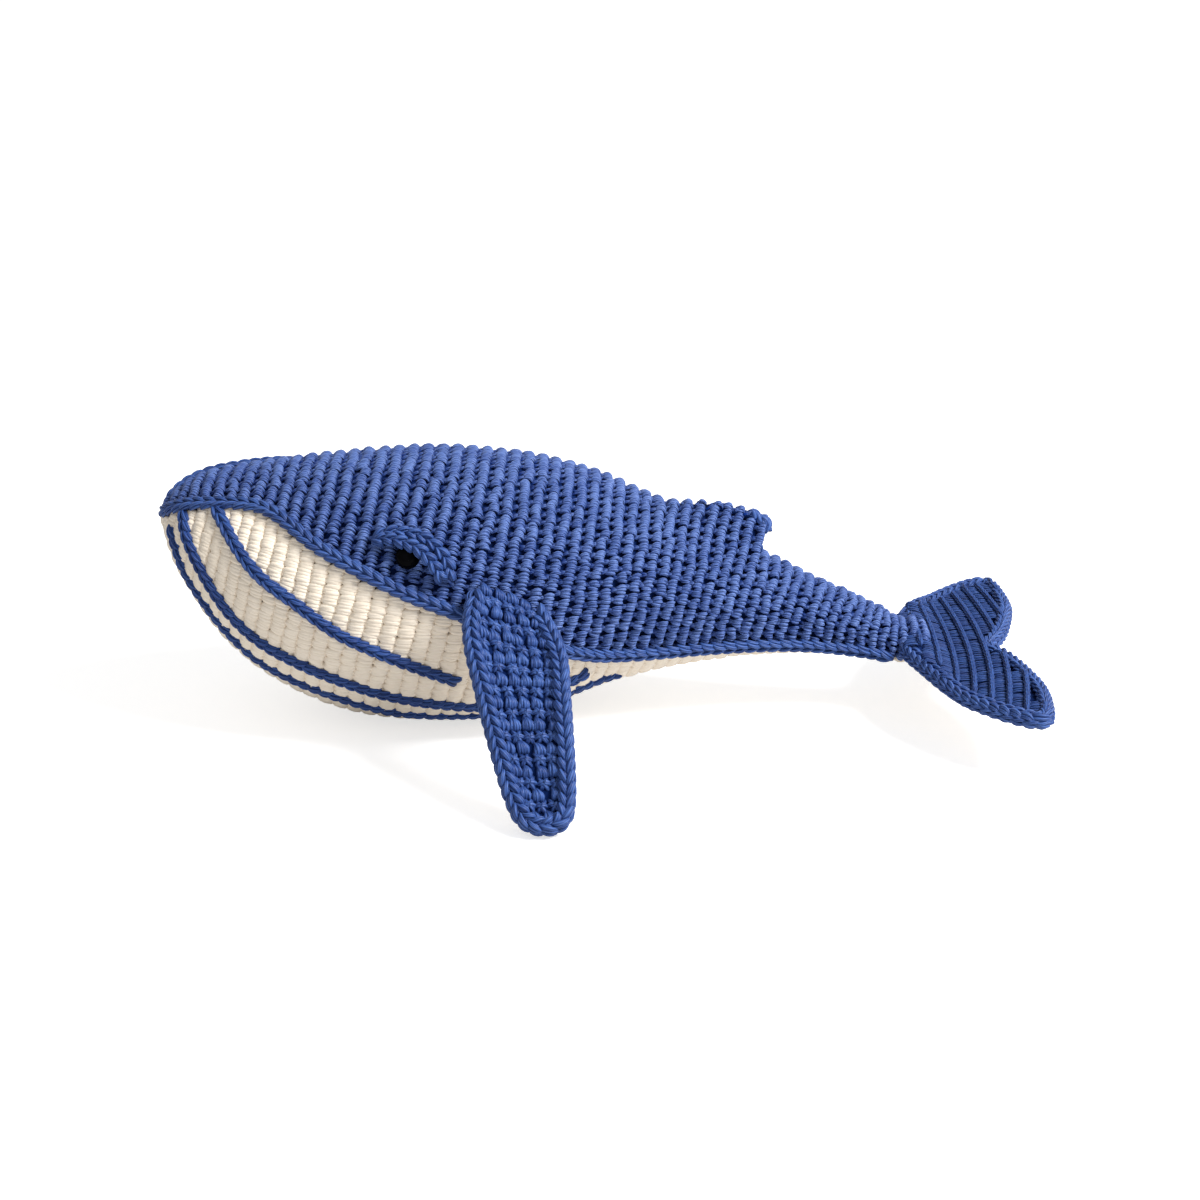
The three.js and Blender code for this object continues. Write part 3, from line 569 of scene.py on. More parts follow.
# Stitches of the fins: rows of puffs, each of four strands, and rows of crossed legs turn about
PUFF_PROFILE = [
    (-0.62, -1.5, 0.6), (-0.46, -0.1, 0.9), (-0.2, 1.0, 1.05), (0.08, 1.3, 1.1), (0.32, 0.8, 1.0),
    (0.5, -0.3, 0.8), (0.6, -1.6, 0.6),
]
PUFF_OFFSETS = [(-0.31, 0.8), (-0.11, 0.0), (0.11, 0.0), (0.31, 0.8)]
PUFF_ROW = stitch_form(PUFF_OFFSETS, PUFF_PROFILE, 0.5, 0.6, 0.1, 0.85)
LEG_ROW = [
    [(-0.7, -0.4, -1.5, 0.6), (-0.42, -0.3, -0.2, 0.8), (-0.05, -0.05, 0.5, 0.95), (0.32, 0.2, 0.2, 0.9),
     (0.62, 0.35, -1.2, 0.7)],
    [(-0.7, 0.3, -1.5, 0.6), (-0.42, 0.24, -0.4, 0.8), (-0.05, 0.05, 0.3, 0.95), (0.32, -0.2, 0.0, 0.9),
     (0.62, -0.4, -1.2, 0.7)],
    [(0.15, -0.6, -0.8, 0.7), (0.0, -0.3, 0.6, 0.9), (-0.04, 0.0, 1.0, 1.0), (0.0, 0.3, 0.6, 0.9),
     (0.15, 0.6, -0.8, 0.7)],
]

# Ribbed rows of the fluke: posts side by side. A braid along each row covers their ends.
RIB_ROW = [
    [(-0.8, -0.26, -1.6, 0.28), (-0.62, -0.26, 0.0, 0.36), (-0.3, -0.25, 0.5, 0.42), (0.02, -0.22, 0.5, 0.4),
     (0.2, -0.2, -0.8, 0.3)],
    [(-0.8, 0.22, -1.6, 0.28), (-0.62, 0.24, 0.0, 0.36), (-0.3, 0.25, 0.5, 0.42), (0.02, 0.28, 0.5, 0.4),
     (0.2, 0.3, -0.8, 0.3)],
]

# A leg of a braided chain: share of a chain stitch along it, share of the half width, height, share of radius
CHAIN_LEG = [
    (-0.25, 0.0, -1.0, 0.5), (0.0, 0.1, 0.1, 0.85), (0.3, 0.4, 0.8, 1.1), (0.6, 0.74, 0.95, 1.12),
    (0.9, 1.0, 0.5, 0.95), (1.1, 1.0, -0.8, 0.5),
]


# Laying stitches

def stitch_places(rows, widths, spans_at, pitch, place, first_row, fitted):
    """Row and place along it of every stitch, each followed by the stitch's size that way."""
    found = []
    for number, (row, width) in enumerate(zip(rows, widths)):
        for first, last in spans_at(row):
            dense = np.linspace(first, last, 241)
            length = lengths_along(place(np.full_like(dense, row), dense, np.zeros_like(dense)))
            middle = length[-1] / 2
            shift = ROW_SHIFT * (first_row + number) + RNG.uniform(-ROW_STRAY, ROW_STRAY)
            low = math.ceil((ROW_END_ROOM * pitch - middle) / pitch - shift)
            high = math.floor((middle - ROW_END_ROOM * pitch) / pitch - shift)
            marks = middle + (np.arange(low, high + 1) + shift) * pitch
            if fitted:
                count = max(1, int(round(length[-1] / pitch)))
                marks = (np.arange(count) + 0.5) * length[-1] / count
            if len(marks) == 0:
                continue
            start = np.interp(np.maximum(marks - pitch / 2, 0), length, dense)
            end = np.interp(np.minimum(marks + pitch / 2, length[-1]), length, dense)
            centre = np.interp(marks, length, dense)
            count = len(marks)
            found.append(np.stack([np.full(count, row), np.full(count, width), centre, end - start], 1))
    return [part[:, None] for part in np.concatenate(found).T]


def stitch_rows(field, rows, widths, spans_at, pitch, place, stitch, steps, sink, jitter=0.055,
                pit=(-0.2, 1.6), left_shade=LEFT_SHADE, first_row=0, fitted=False):
    """Lays one stitch form at every place of every row.
    spans_at(row) gives the stretches of the row that hold stitches; place(row, along, lift) is the surface;
    sink lowers the stitches; the pit heights, counted downwards, are where painted shade on the yarn starts
    and where it is full;
    fitted stretches the stitches a little, so that they fill each row from end to end."""
    places = stitch_places(rows, widths, spans_at, pitch, place, first_row, fitted)
    row, row_width, along, stitch_width = places
    count = len(row)
    wobble = RNG.normal(0, jitter, (count, 4))
    tone = RNG.uniform(0, 1, (count, 1))
    for control in stitch:
        form = resample(control, steps)
        u, v, height, radius = [part[None] for part in form.T]
        ps = row + (u + wobble[:, :1]) * row_width
        pa = along + (v + wobble[:, 1:2] + wobble[:, 3:] * u) * stitch_width
        lift = height + wobble[:, 2:3] * 3 - sink
        own = RNG.normal(0, STRAND_JITTER, (count, 3))
        ps = ps + own[:, :1] * row_width
        pa = pa + (own[:, 1:2] + own[:, 2:] * u) * stitch_width
        path = place(ps, pa, lift)
        reference = place(ps, pa + 0.1 * stitch_width, lift) - path
        # Painted shade: the yarn darkens low in the stitches and, by left_shade, where it goes down at a
        # row's front
        depth = np.maximum(smoothstep(-height, *pit), left_shade * smoothstep(-u, 0.1, 0.42))
        field.add(path, reference, radius * (1 + RNG.normal(0, 0.05, (count, 1))), depth, tone)


def twisted_cord(field, centre, normal, strand_radius, strand_count, turn_length):
    """A rope of a few strands along a dense path of centres with normals."""
    length = lengths_along(centre)
    ahead = unit(np.gradient(centre, axis=0))
    across = unit(np.cross(normal, ahead))
    upwards = np.cross(ahead, across)
    apart = strand_radius / math.sin(math.pi / strand_count) * 0.85
    for strand in range(strand_count):
        turn = 2 * np.pi * (length / turn_length + strand / strand_count)
        offset = (across * np.cos(turn)[:, None] + upwards * np.sin(turn)[:, None]) * apart
        field.add((centre + offset)[None], upwards[None], strand_radius)


def chain(field, centre, normal, sizes, steps=9):
    """Braids a chain along a dense path of centres with normals. Each leg of it is LEG_STRANDS of yarn.
    Reach, the last size, makes the legs longer than a stitch, so that more of them lie side by side."""
    stitch_length, width, radius, height, reach = sizes
    length = lengths_along(centre)
    count = max(2, int(round(length[-1] / stitch_length)))
    pitch = length[-1] / count
    ahead = unit(np.gradient(centre, axis=0))
    across = unit(np.cross(normal, ahead))
    form = resample(CHAIN_LEG, steps)
    half = width / 2 - radius
    for side in (-1, 1):
        shift = 0.0 if side < 0 else LEG_SHIFT
        marks = np.arange(count)[:, None] + shift + form[None, :, 0] * reach + RNG.normal(0, 0.03, (count, 1))
        held = (marks[:, 0] > -0.3 * reach) & (marks[:, -1] < count + 0.35 * reach)
        marks = np.clip(marks[held] * pitch, 0, length[-1])
        up = unit(points_along(normal, length, marks))
        path = (points_along(centre, length, marks)
                + points_along(across, length, marks) * (side * form[None, :, 1, None] * half)
                + up * (form[None, :, 2, None] * height))
        # Painted shade: the legs darken where they go down into the stitches
        depth = smoothstep(-form[None, :, 2], -0.3, 1.0)
        beside = unit(np.cross(unit(np.gradient(path, axis=1)), points_along(normal, length, marks)))
        apart = 0.56 * form[None, :, 3, None] * radius
        for turn in np.arange(LEG_STRANDS) * 2 * np.pi / LEG_STRANDS + math.pi / 2:
            strand = path + (beside * math.cos(turn) + up * math.sin(turn)) * apart
            field.add(strand, up, form[None, :, 3] * radius * 0.5, depth)


def ground_sheet(name, stations, spans_at, place, lift, material, columns, closed=False):
    """The cloth under a field of stitches; closed draws its last row in to the middle line."""
    grid = []
    for station in stations:
        first, last = spans_at(station)[0]
        along = np.linspace(first, last, columns)
        grid.append(place(np.full(columns, station), along, np.full(columns, lift)))
    if closed:
        grid.append(np.tile(grid[-1].mean(0) * [1, 0, 1], (columns, 1)))
    points = np.array(grid)
    i = np.arange(len(grid) - 1)[:, None] * columns
    j = np.arange(columns - 1)[None, :]
    quads = np.stack([i + j, i + columns + j, i + columns + j + 1, i + j + 1], -1).reshape(-1, 4)
    return make_mesh(name, points.reshape(-1, 3), quads, material)


# Back and belly

def row_stations(line, widening, start):
    """Stations of the rows along a line of the body, given as a function of the station."""
    dense = np.linspace(start, LAST_ROW, 1200)
    gap = np.linalg.norm(np.diff(line(dense), axis=0), axis=1)
    pitch = from_table(ROW_PITCHES, dense[1:]) * widening
    passed = np.concatenate([[0], np.cumsum(gap / pitch)])
    count = int(round(passed[-1]))
    return np.interp((np.arange(count) + 0.5) / count * passed[-1], passed, dense)


def seam_angle(station):
    return along_stations(SEAM_ANGLES, station)


def under_seam(station):
    """Degrees that UNDER_SEAM takes up at a station."""
    return math.degrees(UNDER_SEAM / max(float(half_width_at(station)), 8.0))


def back_line(station):
    return (body_surface(station, 70, False) + body_surface(station, 110, False)) / 2


def back_angles(station):
    seam = float(seam_angle(station)) - under_seam(station)
    return [(seam, 180 - seam)]


def crest_height(station, angle, lift):
    """Heights of the back's stitches, which lie flatter along the crest in front of the dorsal fin."""
    ahead = 1 - smoothstep(station, DORSAL_START - 1, DORSAL_START)
    crest = np.maximum(0, np.sin(np.radians(angle))) ** 8 * ahead
    return lift * (1 - CREST_FLATTENING * crest)


def back_place(station, angle, lift):
    """Surface under the back's rows, which lean by ROW_LEANS."""
    moved = station + from_table(ROW_LEANS, station) * np.maximum(0, np.sin(np.radians(angle))) ** 2
    return on_body(np.clip(moved, 0, LAST_STATION), angle, crest_height(station, angle, lift))


def back_ground_place(station, angle, lift):
    """The cloth under the back's rows, which comes up to the seam's chain at both edges."""
    from_edge = np.minimum(angle - angle[0], angle[-1] - angle)
    height = crest_height(station, angle, lift) + EDGE_RISE * (1 - smoothstep(from_edge, 0, 9))
    return on_body(station, angle, height)


def body_stitches(name, parts, stations, material, spans_at, *form, **choices):
    """The rows of the back or the belly, shared between a few meshes."""
    widths = np.gradient(stations)
    pieces = []
    for part, rows in enumerate(np.array_split(np.arange(len(stations)), parts)):
        field = Strands()
        stitch_rows(field, stations[rows], widths[rows], spans_at, *form, first_row=rows[0], **choices)
        pieces.append(field.build(f"{name}_stitches_{part + 1}", material))
    return pieces


def dress_body(pieces, node):
    for piece in pieces:
        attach(piece, "torso")
    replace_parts(pieces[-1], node)


def build_back():
    pieces = body_stitches("back", BACK_PARTS, row_stations(back_line, 1.0, BACK_FIRST_ROW), BLUE_YARN,
                           back_angles, STITCH_PITCH, back_place, BLUE_STITCH, 10, BLUE_SINK)
    ground = np.concatenate([np.linspace(0, DORSAL_START, 120), np.linspace(DORSAL_START, 9.4, 30),
                             np.linspace(9.41, LAST_STATION, 40)])
    pieces.append(ground_sheet("back_ground", ground, back_angles, back_ground_place, -GROUND_DEPTH,
                               BLUE_SHADE_CLOTH, 96, True))
    dress_body(pieces, "back_shell")


def keel_line(station):
    return body_surface(station, -20, False)


def belly_angles(station):
    """The belly's rows end at the seam as far as the fins, and a little below it from there on."""
    seam = float(seam_angle(station)) - under_seam(station) * lerp(0.0, 0.7, smoothstep(station, 6.0, 7.5))
    return [(-180 - seam, seam)]


def belly_place(station, angle, lift):
    return on_body(station, angle, lift, False)


def build_belly():
    stations = row_stations(keel_line, CREAM_ROW_WIDENING, BELLY_FIRST_ROW)
    pieces = body_stitches("belly", BELLY_PARTS, stations, CREAM_YARN, belly_angles, CREAM_STITCH_PITCH,
                           belly_place, CREAM_STITCH, 7, CREAM_SINK, jitter=0.025, pit=(0.0, 1.6),
                           left_shade=0.3)
    pieces.append(ground_sheet("belly_ground", np.linspace(0, LAST_STATION, 160), belly_angles, belly_place,
                               -CREAM_GROUND_DEPTH, CREAM_SHADE_CLOTH, 80, True))
    dress_body(pieces, "belly_panel")


# Chains on the body

def chain_on_body(field, station, angle, lift, sizes):
    chain(field, belly_place(station, angle, lift), body_normal(station, angle, False), sizes)


def sew_on(field, name, material=BLUE_CHAIN_SHADED):
    piece = field.build(name, material)
    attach(piece, "torso")
    return piece


def route_on_body(route, count, side):
    station, angle = resample(route, count).T
    return station, 180 - angle if side == "right" else angle


def build_throat_cords():
    for side in SIDES:
        for name, route in THROAT_ROUTES.items():
            station, angle = route_on_body(route, 200, side)
            field = Strands()
            chain_on_body(field, station, angle, np.full(200, THROAT_LIFTS[name]), THROAT_BRAID)
            piece = sew_on(field, f"throat_chain_{name}_{side}", BLUE_RIB_SHADED)
            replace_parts(piece, f"throat_cord_{name}_{side}")


def build_seam():
    """One chain from the tail round the snout, where it lies lower, and back to the tail."""
    steps = 500
    station = np.concatenate([np.linspace(SEAM_END, 0, steps), np.linspace(0, SEAM_END, steps)[1:]])
    seam = seam_angle(station)
    angle = np.where(np.arange(len(station)) >= steps, 180 - seam, seam)
    field = Strands()
    lift = lerp(SEAM_SNOUT_LIFT, SEAM_LIFT, smoothstep(station, 0, 1.5))
    chain_on_body(field, station, angle, lift, SEAM_BRAID)
    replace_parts(sew_on(field, "seam_chain"), "seam_edging")


def build_dorsal_edge():
    """The rolled edge of the dorsal fin: a braid down its rear and a cord that hooks over its tip."""
    steps = 60
    tip = body_surface(DORSAL_END, 90)
    foot = body_surface(DORSAL_BACK_END + 0.04, 90)
    before_tip = body_surface(DORSAL_END - 0.24, 90)
    field = Strands()
    rear = resample([foot + [-2.6, 0, -1.5], lerp(foot, tip, 0.3) + [-3.0, 0, 0],
                     lerp(foot, tip, 0.7) + [-3.3, 0, 0], tip + [-3.6, 0, -1.2]], steps)
    chain(field, rear, np.tile(unit(np.array([1.0, 0, 0.1])), (steps, 1)), DORSAL_BRAID)
    hook = resample([before_tip + [0, 0, -1.6], tip + [-4.4, 0, -1.2], tip + [-1.6, 0, -2.4],
                     tip + [-1.2, 0, -6.6]], steps)
    ahead = unit(np.gradient(hook, axis=0))
    twisted_cord(field, hook, unit(np.cross(ahead, [0.0, 1, 0])), strand_radius=1.25, strand_count=3,
                 turn_length=9.0)
    sew_on(field, "dorsal_edge")


def build_eyelids():
    """Two braids side by side over each eye, which stand out most at their middle."""
    steps = 80
    share = np.linspace(0, 1, steps)
    spread = (0.15 + 0.35 * share + 0.85 * np.sin(np.pi * share) ** 0.7)[:, None]
    for side in SIDES:
        station, angle = route_on_body(EYELID_ROUTE, steps, side)
        field = Strands()
        normal = body_normal(station, angle, False)
        route = belly_place(station, angle, np.zeros(steps))
        outwards = unit(np.cross(unit(np.gradient(route, axis=0)), normal)) * -outward(side)
        for shift, lift in EYELID_BRAIDS:
            chain(field, route + outwards * shift * spread + normal * lift * spread, normal, EYELID_BRAID)
        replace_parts(sew_on(field, f"eyelid_chain_{side}"), f"eyelid_{side}")


# Outlines of the fins and the fluke, from above: one half of each, from its front or root to its end

def smooth_outline(shares, length, half_width, count):
    points = resample(shares, count) * np.array([length, half_width])
    run = lengths_along(points)
    return points_along(points, run, np.linspace(0, run[-1], count))


def inset_outline(outline, inset):
    ahead = unit(np.gradient(outline, axis=0))
    return outline + np.stack([ahead[:, 1], -ahead[:, 0]], -1) * inset


FIN_OUTLINE = smooth_outline(FIN_OUTLINE_SHARES, FIN_LENGTH, FIN_WIDTH, 240)
FIN_INNER = inset_outline(FIN_OUTLINE, FIN_ROWS_INSET)
FLUKE_HALF_SPAN = FLUKE_SPAN / 2
FLUKE_OUTLINE = (smooth_outline(FLUKE_OUTLINE_SHARES, FLUKE_CHORD, FLUKE_HALF_SPAN, 360)
                 - np.array([FLUKE_NOSE, 0]))
FLUKE_INNER = inset_outline(FLUKE_OUTLINE, FLUKE_ROWS_INSET)
FLUKE_TIP = int(np.argmax(FLUKE_INNER[:, 1]))


# Pectoral fins

def fin_place(side, share, chord, lift):
    """Point of a fin: share from root to tip, chord from front to rear, lift above its middle sheet."""
    root = joint_place(f"{side}_pectoral_fin")
    sign = outward(side)
    droop = math.asin((root[2] + FIN_TIP_SINK) / FIN_LENGTH)
    out = np.array([0, sign * math.cos(droop), -math.sin(droop)])
    up = np.array([0, sign * math.sin(droop), math.cos(droop)])
    slope = np.radians(FIN_ROOT_SLOPE) * np.maximum(0, 1 - share * 2)
    bow = FIN_ARCH * 4 * share * (1 - share) + FIN_TIP_CURL * smoothstep(share, 0.8, 1.1)
    dish = FIN_DISH * np.minimum(1, np.abs(chord) / (FIN_WIDTH / 2)) ** 2 * smoothstep(share, 0, 0.2)
    x = FIN_SWEEP * share + chord * np.cos(slope)
    z = chord * np.sin(slope)
    return (root + np.stack([x, np.zeros_like(x), z], -1)
            + out * (share * FIN_LENGTH)[..., None] + up * (bow + dish + lift)[..., None])


def fin_row_spans(share):
    half = float(np.interp(share * FIN_LENGTH, FIN_INNER[:, 0], np.maximum(FIN_INNER[:, 1], 0)))
    return [(-max(half, 1.0), max(half, 1.0))]


def build_fin_layer(side, name, first_row, layer, look, cloth, forms):
    """Stitches and cloth of a fin's top or underside."""
    def stitch_place(share, chord, lift):
        return fin_place(side, share, chord, layer * (lift + FIN_STITCH_LIFT))

    def cloth_place(share, chord, lift):
        return fin_place(side, share, chord, layer * lift)

    pitch = FIN_ROW_PITCH / FIN_LENGTH
    rows = np.arange(0.0, 0.935, pitch)[first_row:]
    field = Strands()
    for turn, form in enumerate(forms):
        part = rows[turn::2]
        stitch_rows(field, part, np.full(len(part), pitch), fin_row_spans, FIN_STITCH_PITCH, stitch_place,
                    form, 8, FIN_SINK, jitter=0.07, pit=(0.0, 1.5), fitted=True)
    piece = field.build(f"{side}_fin_{name}_stitches", look)
    ground = ground_sheet(f"{side}_fin_{name}_ground", np.linspace(-0.02, 0.95, 30), fin_row_spans,
                          cloth_place, FIN_CLOTH_LIFT, cloth, 14)
    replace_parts(piece, f"{side}_fin_{name}")
    return [piece, ground]


def build_fin_edging(side):
    """Three braids along the edge: on top, under it and outside both."""
    line = inset_outline(FIN_OUTLINE, FIN_EDGING_INSET)
    line = line[line[:, 1] > 0]
    share = np.concatenate([line[:, 0], line[::-1, 0]]) / FIN_LENGTH
    chord = np.concatenate([-line[:, 1], line[::-1, 1]])
    centre = fin_place(side, share, chord, np.full(len(share), FIN_EDGE_LIFT))
    normal = unit(fin_place(side, share, chord, np.full(len(share), FIN_EDGE_LIFT + 1)) - centre)
    field = Strands()
    chain(field, centre + normal * FIN_TOP_BRAID_LIFT, normal, FIN_TOP_BRAID)
    chain(field, centre - normal * FIN_UNDER_BRAID_DROP, -normal, FIN_UNDER_BRAID)
    outwards = unit(np.cross(unit(np.gradient(centre, axis=0)), normal)) * -outward(side)
    chain(field, centre + outwards * RIM_OUT + normal * 0.2, outwards, RIM_BRAID)
    edging = field.build(f"{side}_fin_chain", BLUE_CHAIN_SHADED)
    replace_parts(edging, f"{side}_fin_edging")
    return edging


def build_fins():
    for side in SIDES:
        pieces = build_fin_layer(side, "top", 0, 1, BLUE_CHAIN_SHADED, BLUE_SHADE_CLOTH, (PUFF_ROW, LEG_ROW))
        pieces += build_fin_layer(side, "under", 1, -1, CREAM_YARN, CREAM_SHADE_CLOTH,
                                  (CREAM_STITCH, CREAM_STITCH))
        pieces.append(build_fin_edging(side))
        for piece in pieces:
            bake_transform(piece)


# Fluke. x runs back from its hinge, y to the right, and layer is 1 for the top and -1 for the underside.

def fluke_middle(x):
    return -FLUKE_DROP * smoothstep(x, 0, FLUKE_CHORD / 3)


def fluke_place(x, y, lift, layer):
    thickness = lerp(FLUKE_NOSE, FLUKE_REAR_THICKNESS, smoothstep(x, 0, FLUKE_CHORD / 3))
    return joint_place("tail_fluke") + np.stack([x, y, fluke_middle(x) + layer * (thickness + lift)], -1)


def fluke_limits(y):
    """Where the rows start and end at a distance y from the middle."""
    y = min(abs(y), FLUKE_INNER[FLUKE_TIP, 1] - 0.2)
    front = np.interp(y, FLUKE_INNER[:FLUKE_TIP + 1, 1], FLUKE_INNER[:FLUKE_TIP + 1, 0])
    rear = np.interp(y, FLUKE_INNER[FLUKE_TIP:, 1][::-1], FLUKE_INNER[FLUKE_TIP:, 0][::-1])
    return [(-FLUKE_NOSE - UNDER_NECK if y < NECK_HALF_WIDTH else front, rear)]


def fluke_row_x(row, y):
    return row - FLUKE_ROW_BEND * (y / FLUKE_HALF_SPAN) ** 2


def fluke_row_spans(row, held_in):
    """Stretches of a row that keep held_in from the limits."""
    y = np.linspace(-FLUKE_HALF_SPAN, FLUKE_HALF_SPAN, 321)
    ends = np.array([fluke_limits(value)[0] for value in y])
    x = fluke_row_x(row, y)
    held = (x > ends[:, 0] + held_in) & (x < ends[:, 1] - held_in)
    held &= np.abs(y) < FLUKE_INNER[FLUKE_TIP, 1] - held_in
    edges = np.flatnonzero(np.diff(np.concatenate([[0], held.astype(int), [0]])))
    spans = [(y[a], y[b - 1]) for a, b in zip(edges[::2], edges[1::2])]
    return [(first, last) for first, last in spans if last - first > FLUKE_STITCH_PITCH]


def lay_rib_braids(field, rows, held_in):
    """A braid along each row of the fluke's top."""
    steps = 90
    for row in rows:
        for first, last in fluke_row_spans(row, held_in):
            y = np.linspace(first, last, steps)
            x = fluke_row_x(row + 0.2 * FLUKE_ROW_PITCH, y)
            cord = fluke_place(x, y, np.zeros(steps), 1)
            chain(field, cord, np.tile([0.0, 0, 1], (steps, 1)), FLUKE_ROW_BRAID, 7)


def build_fluke_layer(name, held_in, layer, look, cloth, form):
    """Stitches and cloth of the fluke's top or underside."""
    def row_spans(row):
        return fluke_row_spans(row, held_in)

    def stitch_place(row, y, lift):
        return fluke_place(fluke_row_x(row, y), y, lift, layer)

    def cloth_place(y, x, lift):
        return fluke_place(x, y, lift, layer)

    rows = np.arange(-FLUKE_NOSE, FLUKE_CHORD + FLUKE_ROW_BEND, FLUKE_ROW_PITCH)
    field = Strands()
    stitch_rows(field, rows, np.full(len(rows), FLUKE_ROW_PITCH), row_spans, FLUKE_STITCH_PITCH, stitch_place,
                form, 8, FIN_SINK, jitter=0.05, pit=(-0.1, 1.4), left_shade=0.15, fitted=True)
    if layer > 0:
        lay_rib_braids(field, rows, held_in)
    piece = field.build(f"fluke_{name}_stitches", look)
    ground = ground_sheet(f"fluke_{name}_ground", np.linspace(-FLUKE_HALF_SPAN + 5, FLUKE_HALF_SPAN - 5, 70),
                          fluke_limits, cloth_place, -FLUKE_CLOTH_SINK, cloth, 24)
    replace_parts(piece, f"fluke_{name}")
    return [piece, ground]


def build_fluke_edging():
    """Three braids along the edge: on top, under it and outside both."""
    field = Strands()
    for inset, lift, sizes in ((3.2, 1.3, FLUKE_TOP_BRAID), (3.8, -0.8, FLUKE_UNDER_BRAID)):
        line = inset_outline(FLUKE_OUTLINE, inset)
        x = np.concatenate([line[:, 0], line[::-1, 0]])
        y = np.concatenate([-line[:, 1], line[::-1, 1]])
        centre = joint_place("tail_fluke") + np.stack([x, y, fluke_middle(x) + lift], -1)
        normal = np.tile(np.array([0.0, 0, math.copysign(1, lift)]), (len(x), 1))
        chain(field, centre, normal, sizes)
        if lift > 0:
            outwards = unit(np.cross(unit(np.gradient(centre, axis=0)), normal))
            chain(field, centre + outwards * RIM_OUT - normal * lift, outwards, RIM_BRAID)
    edging = field.build("fluke_chain", BLUE_CHAIN_SHADED)
    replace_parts(edging, "fluke_edging")
    return edging


def blend_with_tail(piece):
    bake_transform(piece)


def build_fluke():
    pieces = build_fluke_layer("top", 0.5, 1, BLUE_RIB_SHADED, BLUE_SHADE_CLOTH, RIB_ROW)
    pieces += build_fluke_layer("under", 4.0, -1, CREAM_YARN, CREAM_SHADE_CLOTH, CREAM_STITCH)
    pieces.append(build_fluke_edging())
    for piece in pieces:
        blend_with_tail(piece)


def neck_place(x, angle, lift):
    """The tail end's outline, carried back and down into the fluke."""
    root = joint_place("tail_fluke")
    spot = on_body(np.full_like(x, LAST_STATION), angle, np.zeros_like(x), False)
    flat = smoothstep(x, 0, NECK_LENGTH)
    turn = np.radians(angle)
    above = (spot[..., 2] - root[2]) * (1 - NECK_FLATTENING * flat)
    y = spot[..., 1] * (1 + NECK_FLARE * flat) - lift * np.cos(turn)
    z = root[2] + above - FLUKE_DROP * 0.4 * flat + lift * np.sin(turn)
    return np.stack([root[0] + x, y, z], -1)


def build_neck():
    """Rows of stitches that join the tail end to the fluke."""
    rows = np.arange(NECK_START, NECK_LENGTH / 2, NECK_ROW_PITCH)
    for name, angles, look, slot, form, sink in (
            ("top", (-52.0, 232.0), BLUE_YARN, "blue_yarn", BLUE_STITCH, BLUE_SINK),
            ("under", (-128.0, -52.0), CREAM_YARN, "cream_yarn", CREAM_STITCH, CREAM_SINK)):
        field = Strands()
        stitch_rows(field, rows, np.full(len(rows), NECK_ROW_PITCH), lambda x, angles=angles: [angles],
                    STITCH_PITCH, neck_place, form, 9, sink)
        piece = field.build(f"neck_{name}_stitches", look)
        blend_with_tail(piece)


def finish_eyes():
    material, tree, shader = new_material("eye_gloss")
    noise = noise_node(tree, object_coordinates(tree), 300, 2)
    black = mix_colour(tree, noise, (0.001, 0.001, 0.001, 1), (0.002, 0.002, 0.003, 1))
    set_inputs(tree, shader, {"Base Color": black, "Roughness": 0.12, "Specular IOR Level": 0.025})
    for side in SIDES:
        node = frame["nodes"][f"eye_{side}"]
        node.data.materials.clear()
        node.data.materials.append(material)
        for polygon in node.data.polygons:
            polygon.use_smooth = True


# Stage, light and camera, in metres
FLOOR_SIZE = 6.0
FLOOR_GREY = 0.75
FLOOR_GLOW = 0.65  # added where the camera sees the floor
WORLD_LIGHT = 0.48
WORLD_GLOW = 0.52  # the same for what lies beyond the floor
KEY_PLACE = (1.2, -0.5, 1.4)
KEY_TARGET = (0, 0, 0.05)
KEY_SIZE = 0.8
KEY_POWER = 52
CAMERA_ELEVATION = 21.0  # degrees above the toy's side
CAMERA_DISTANCE = 1.0
CAMERA_LENS = 72.0
CAMERA_TARGET = ((SNOUT_X + 180.5) * MM, 0.0, 0.0478)


def glow_for_camera(tree, strength):
    path = tree.nodes.new("ShaderNodeLightPath")
    return math_node(tree, "MULTIPLY", path.outputs["Is Camera Ray"], strength)


def aim(obj, target):
    obj.rotation_euler = (target - obj.location).to_track_quat("-Z", "Y").to_euler()


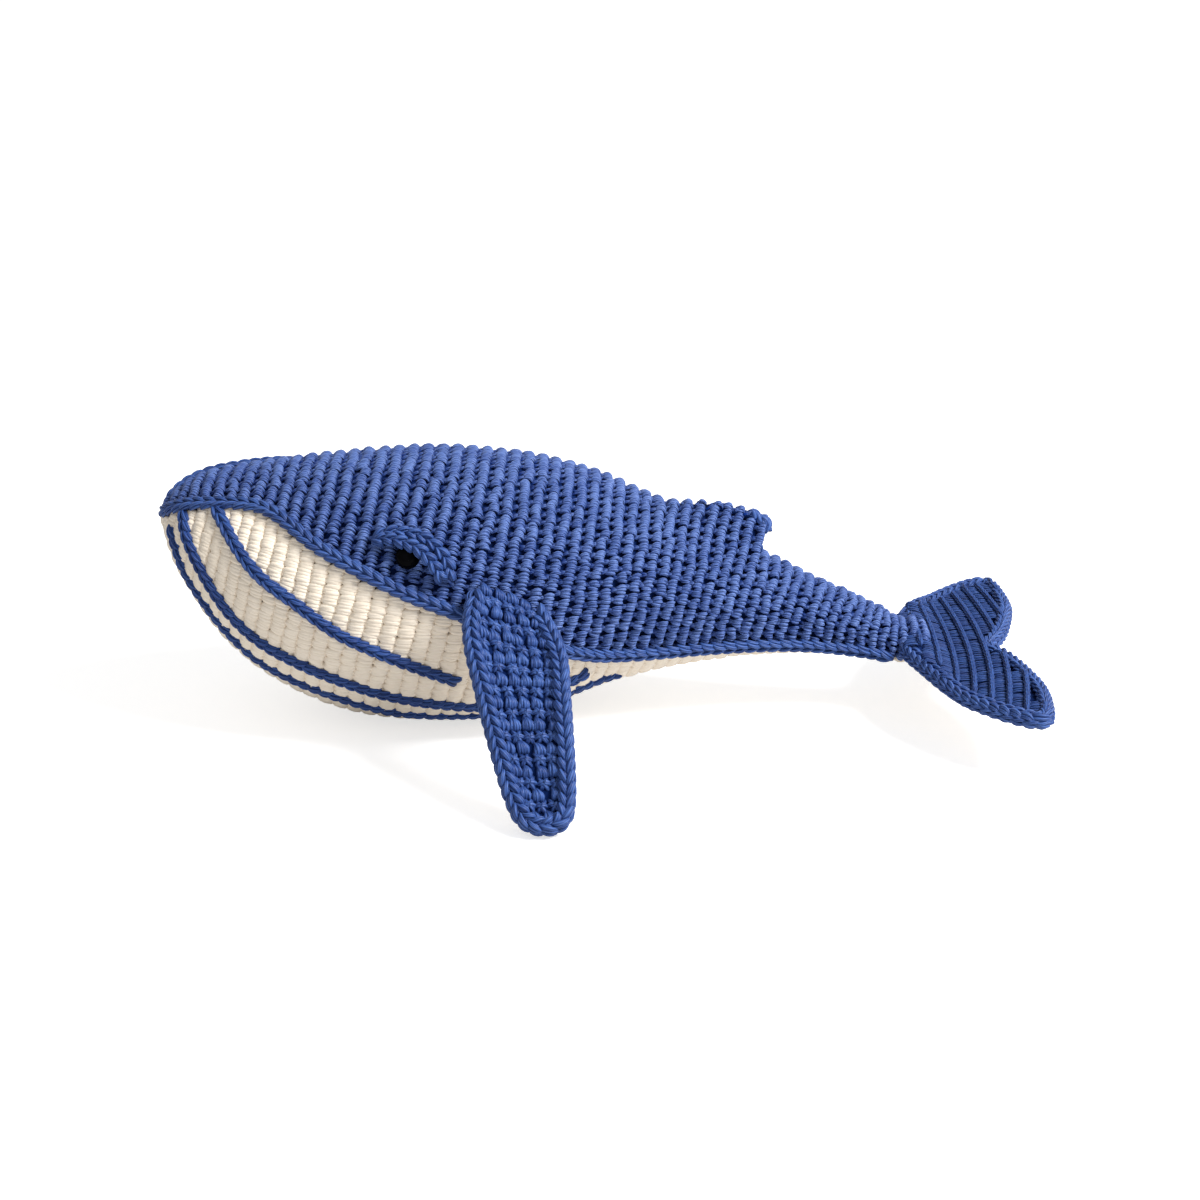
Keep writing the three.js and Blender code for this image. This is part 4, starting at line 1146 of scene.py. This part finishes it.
def build_stage():
    size = FLOOR_SIZE
    mesh = bpy.data.meshes.new("floor")
    mesh.from_pydata([(-size, -size, 0), (size, -size, 0), (size, size, 0), (-size, size, 0)], [],
                     [(0, 1, 2, 3)])
    floor = bpy.data.objects.new("floor", mesh)
    bpy.context.scene.collection.objects.link(floor)
    material, tree, shader = new_material("floor_white")
    set_inputs(tree, shader, {"Base Color": (FLOOR_GREY, FLOOR_GREY, FLOOR_GREY, 1), "Roughness": 1.0,
                              "Specular IOR Level": 0.0})
    glow = tree.nodes.new("ShaderNodeEmission")
    set_inputs(tree, glow, {"Strength": glow_for_camera(tree, FLOOR_GLOW)})
    add = tree.nodes.new("ShaderNodeAddShader")
    set_inputs(tree, add, {0: shader.outputs[0], 1: glow.outputs[0]})
    set_inputs(tree, tree.nodes["Material Output"], {"Surface": add.outputs[0]})
    mesh.materials.append(material)


def build_lights():
    world = bpy.data.worlds.new("studio")
    bpy.context.scene.world = world
    world.use_nodes = True
    tree = world.node_tree
    glow = glow_for_camera(tree, WORLD_GLOW)
    set_inputs(tree, tree.nodes["Background"], {
        "Color": (1, 1, 1, 1), "Strength": math_node(tree, "ADD", glow, WORLD_LIGHT)})
    data = bpy.data.lights.new("key", "AREA")
    data.shape = "DISK"
    data.size = KEY_SIZE
    data.energy = KEY_POWER
    light = bpy.data.objects.new("key", data)
    light.location = KEY_PLACE
    aim(light, Vector(KEY_TARGET))
    bpy.context.scene.collection.objects.link(light)


def build_camera():
    data = bpy.data.cameras.new("camera")
    data.lens = CAMERA_LENS
    data.sensor_width = 36
    data.clip_end = 50
    camera = bpy.data.objects.new("camera", data)
    tilt = math.radians(CAMERA_ELEVATION)
    target = Vector(CAMERA_TARGET)
    camera.location = target + Vector((0, -math.cos(tilt), math.sin(tilt))) * CAMERA_DISTANCE
    aim(camera, target)
    bpy.context.scene.collection.objects.link(camera)
    bpy.context.scene.camera = camera


build_camera()
build_lights()
build_stage()
build_back()
build_belly()
build_throat_cords()
build_seam()
build_dorsal_edge()
build_eyelids()
build_fins()
build_fluke()
build_neck()
finish_eyes()

bpy.context.scene.view_settings.view_transform = "Standard"
bpy.context.view_layer.update()
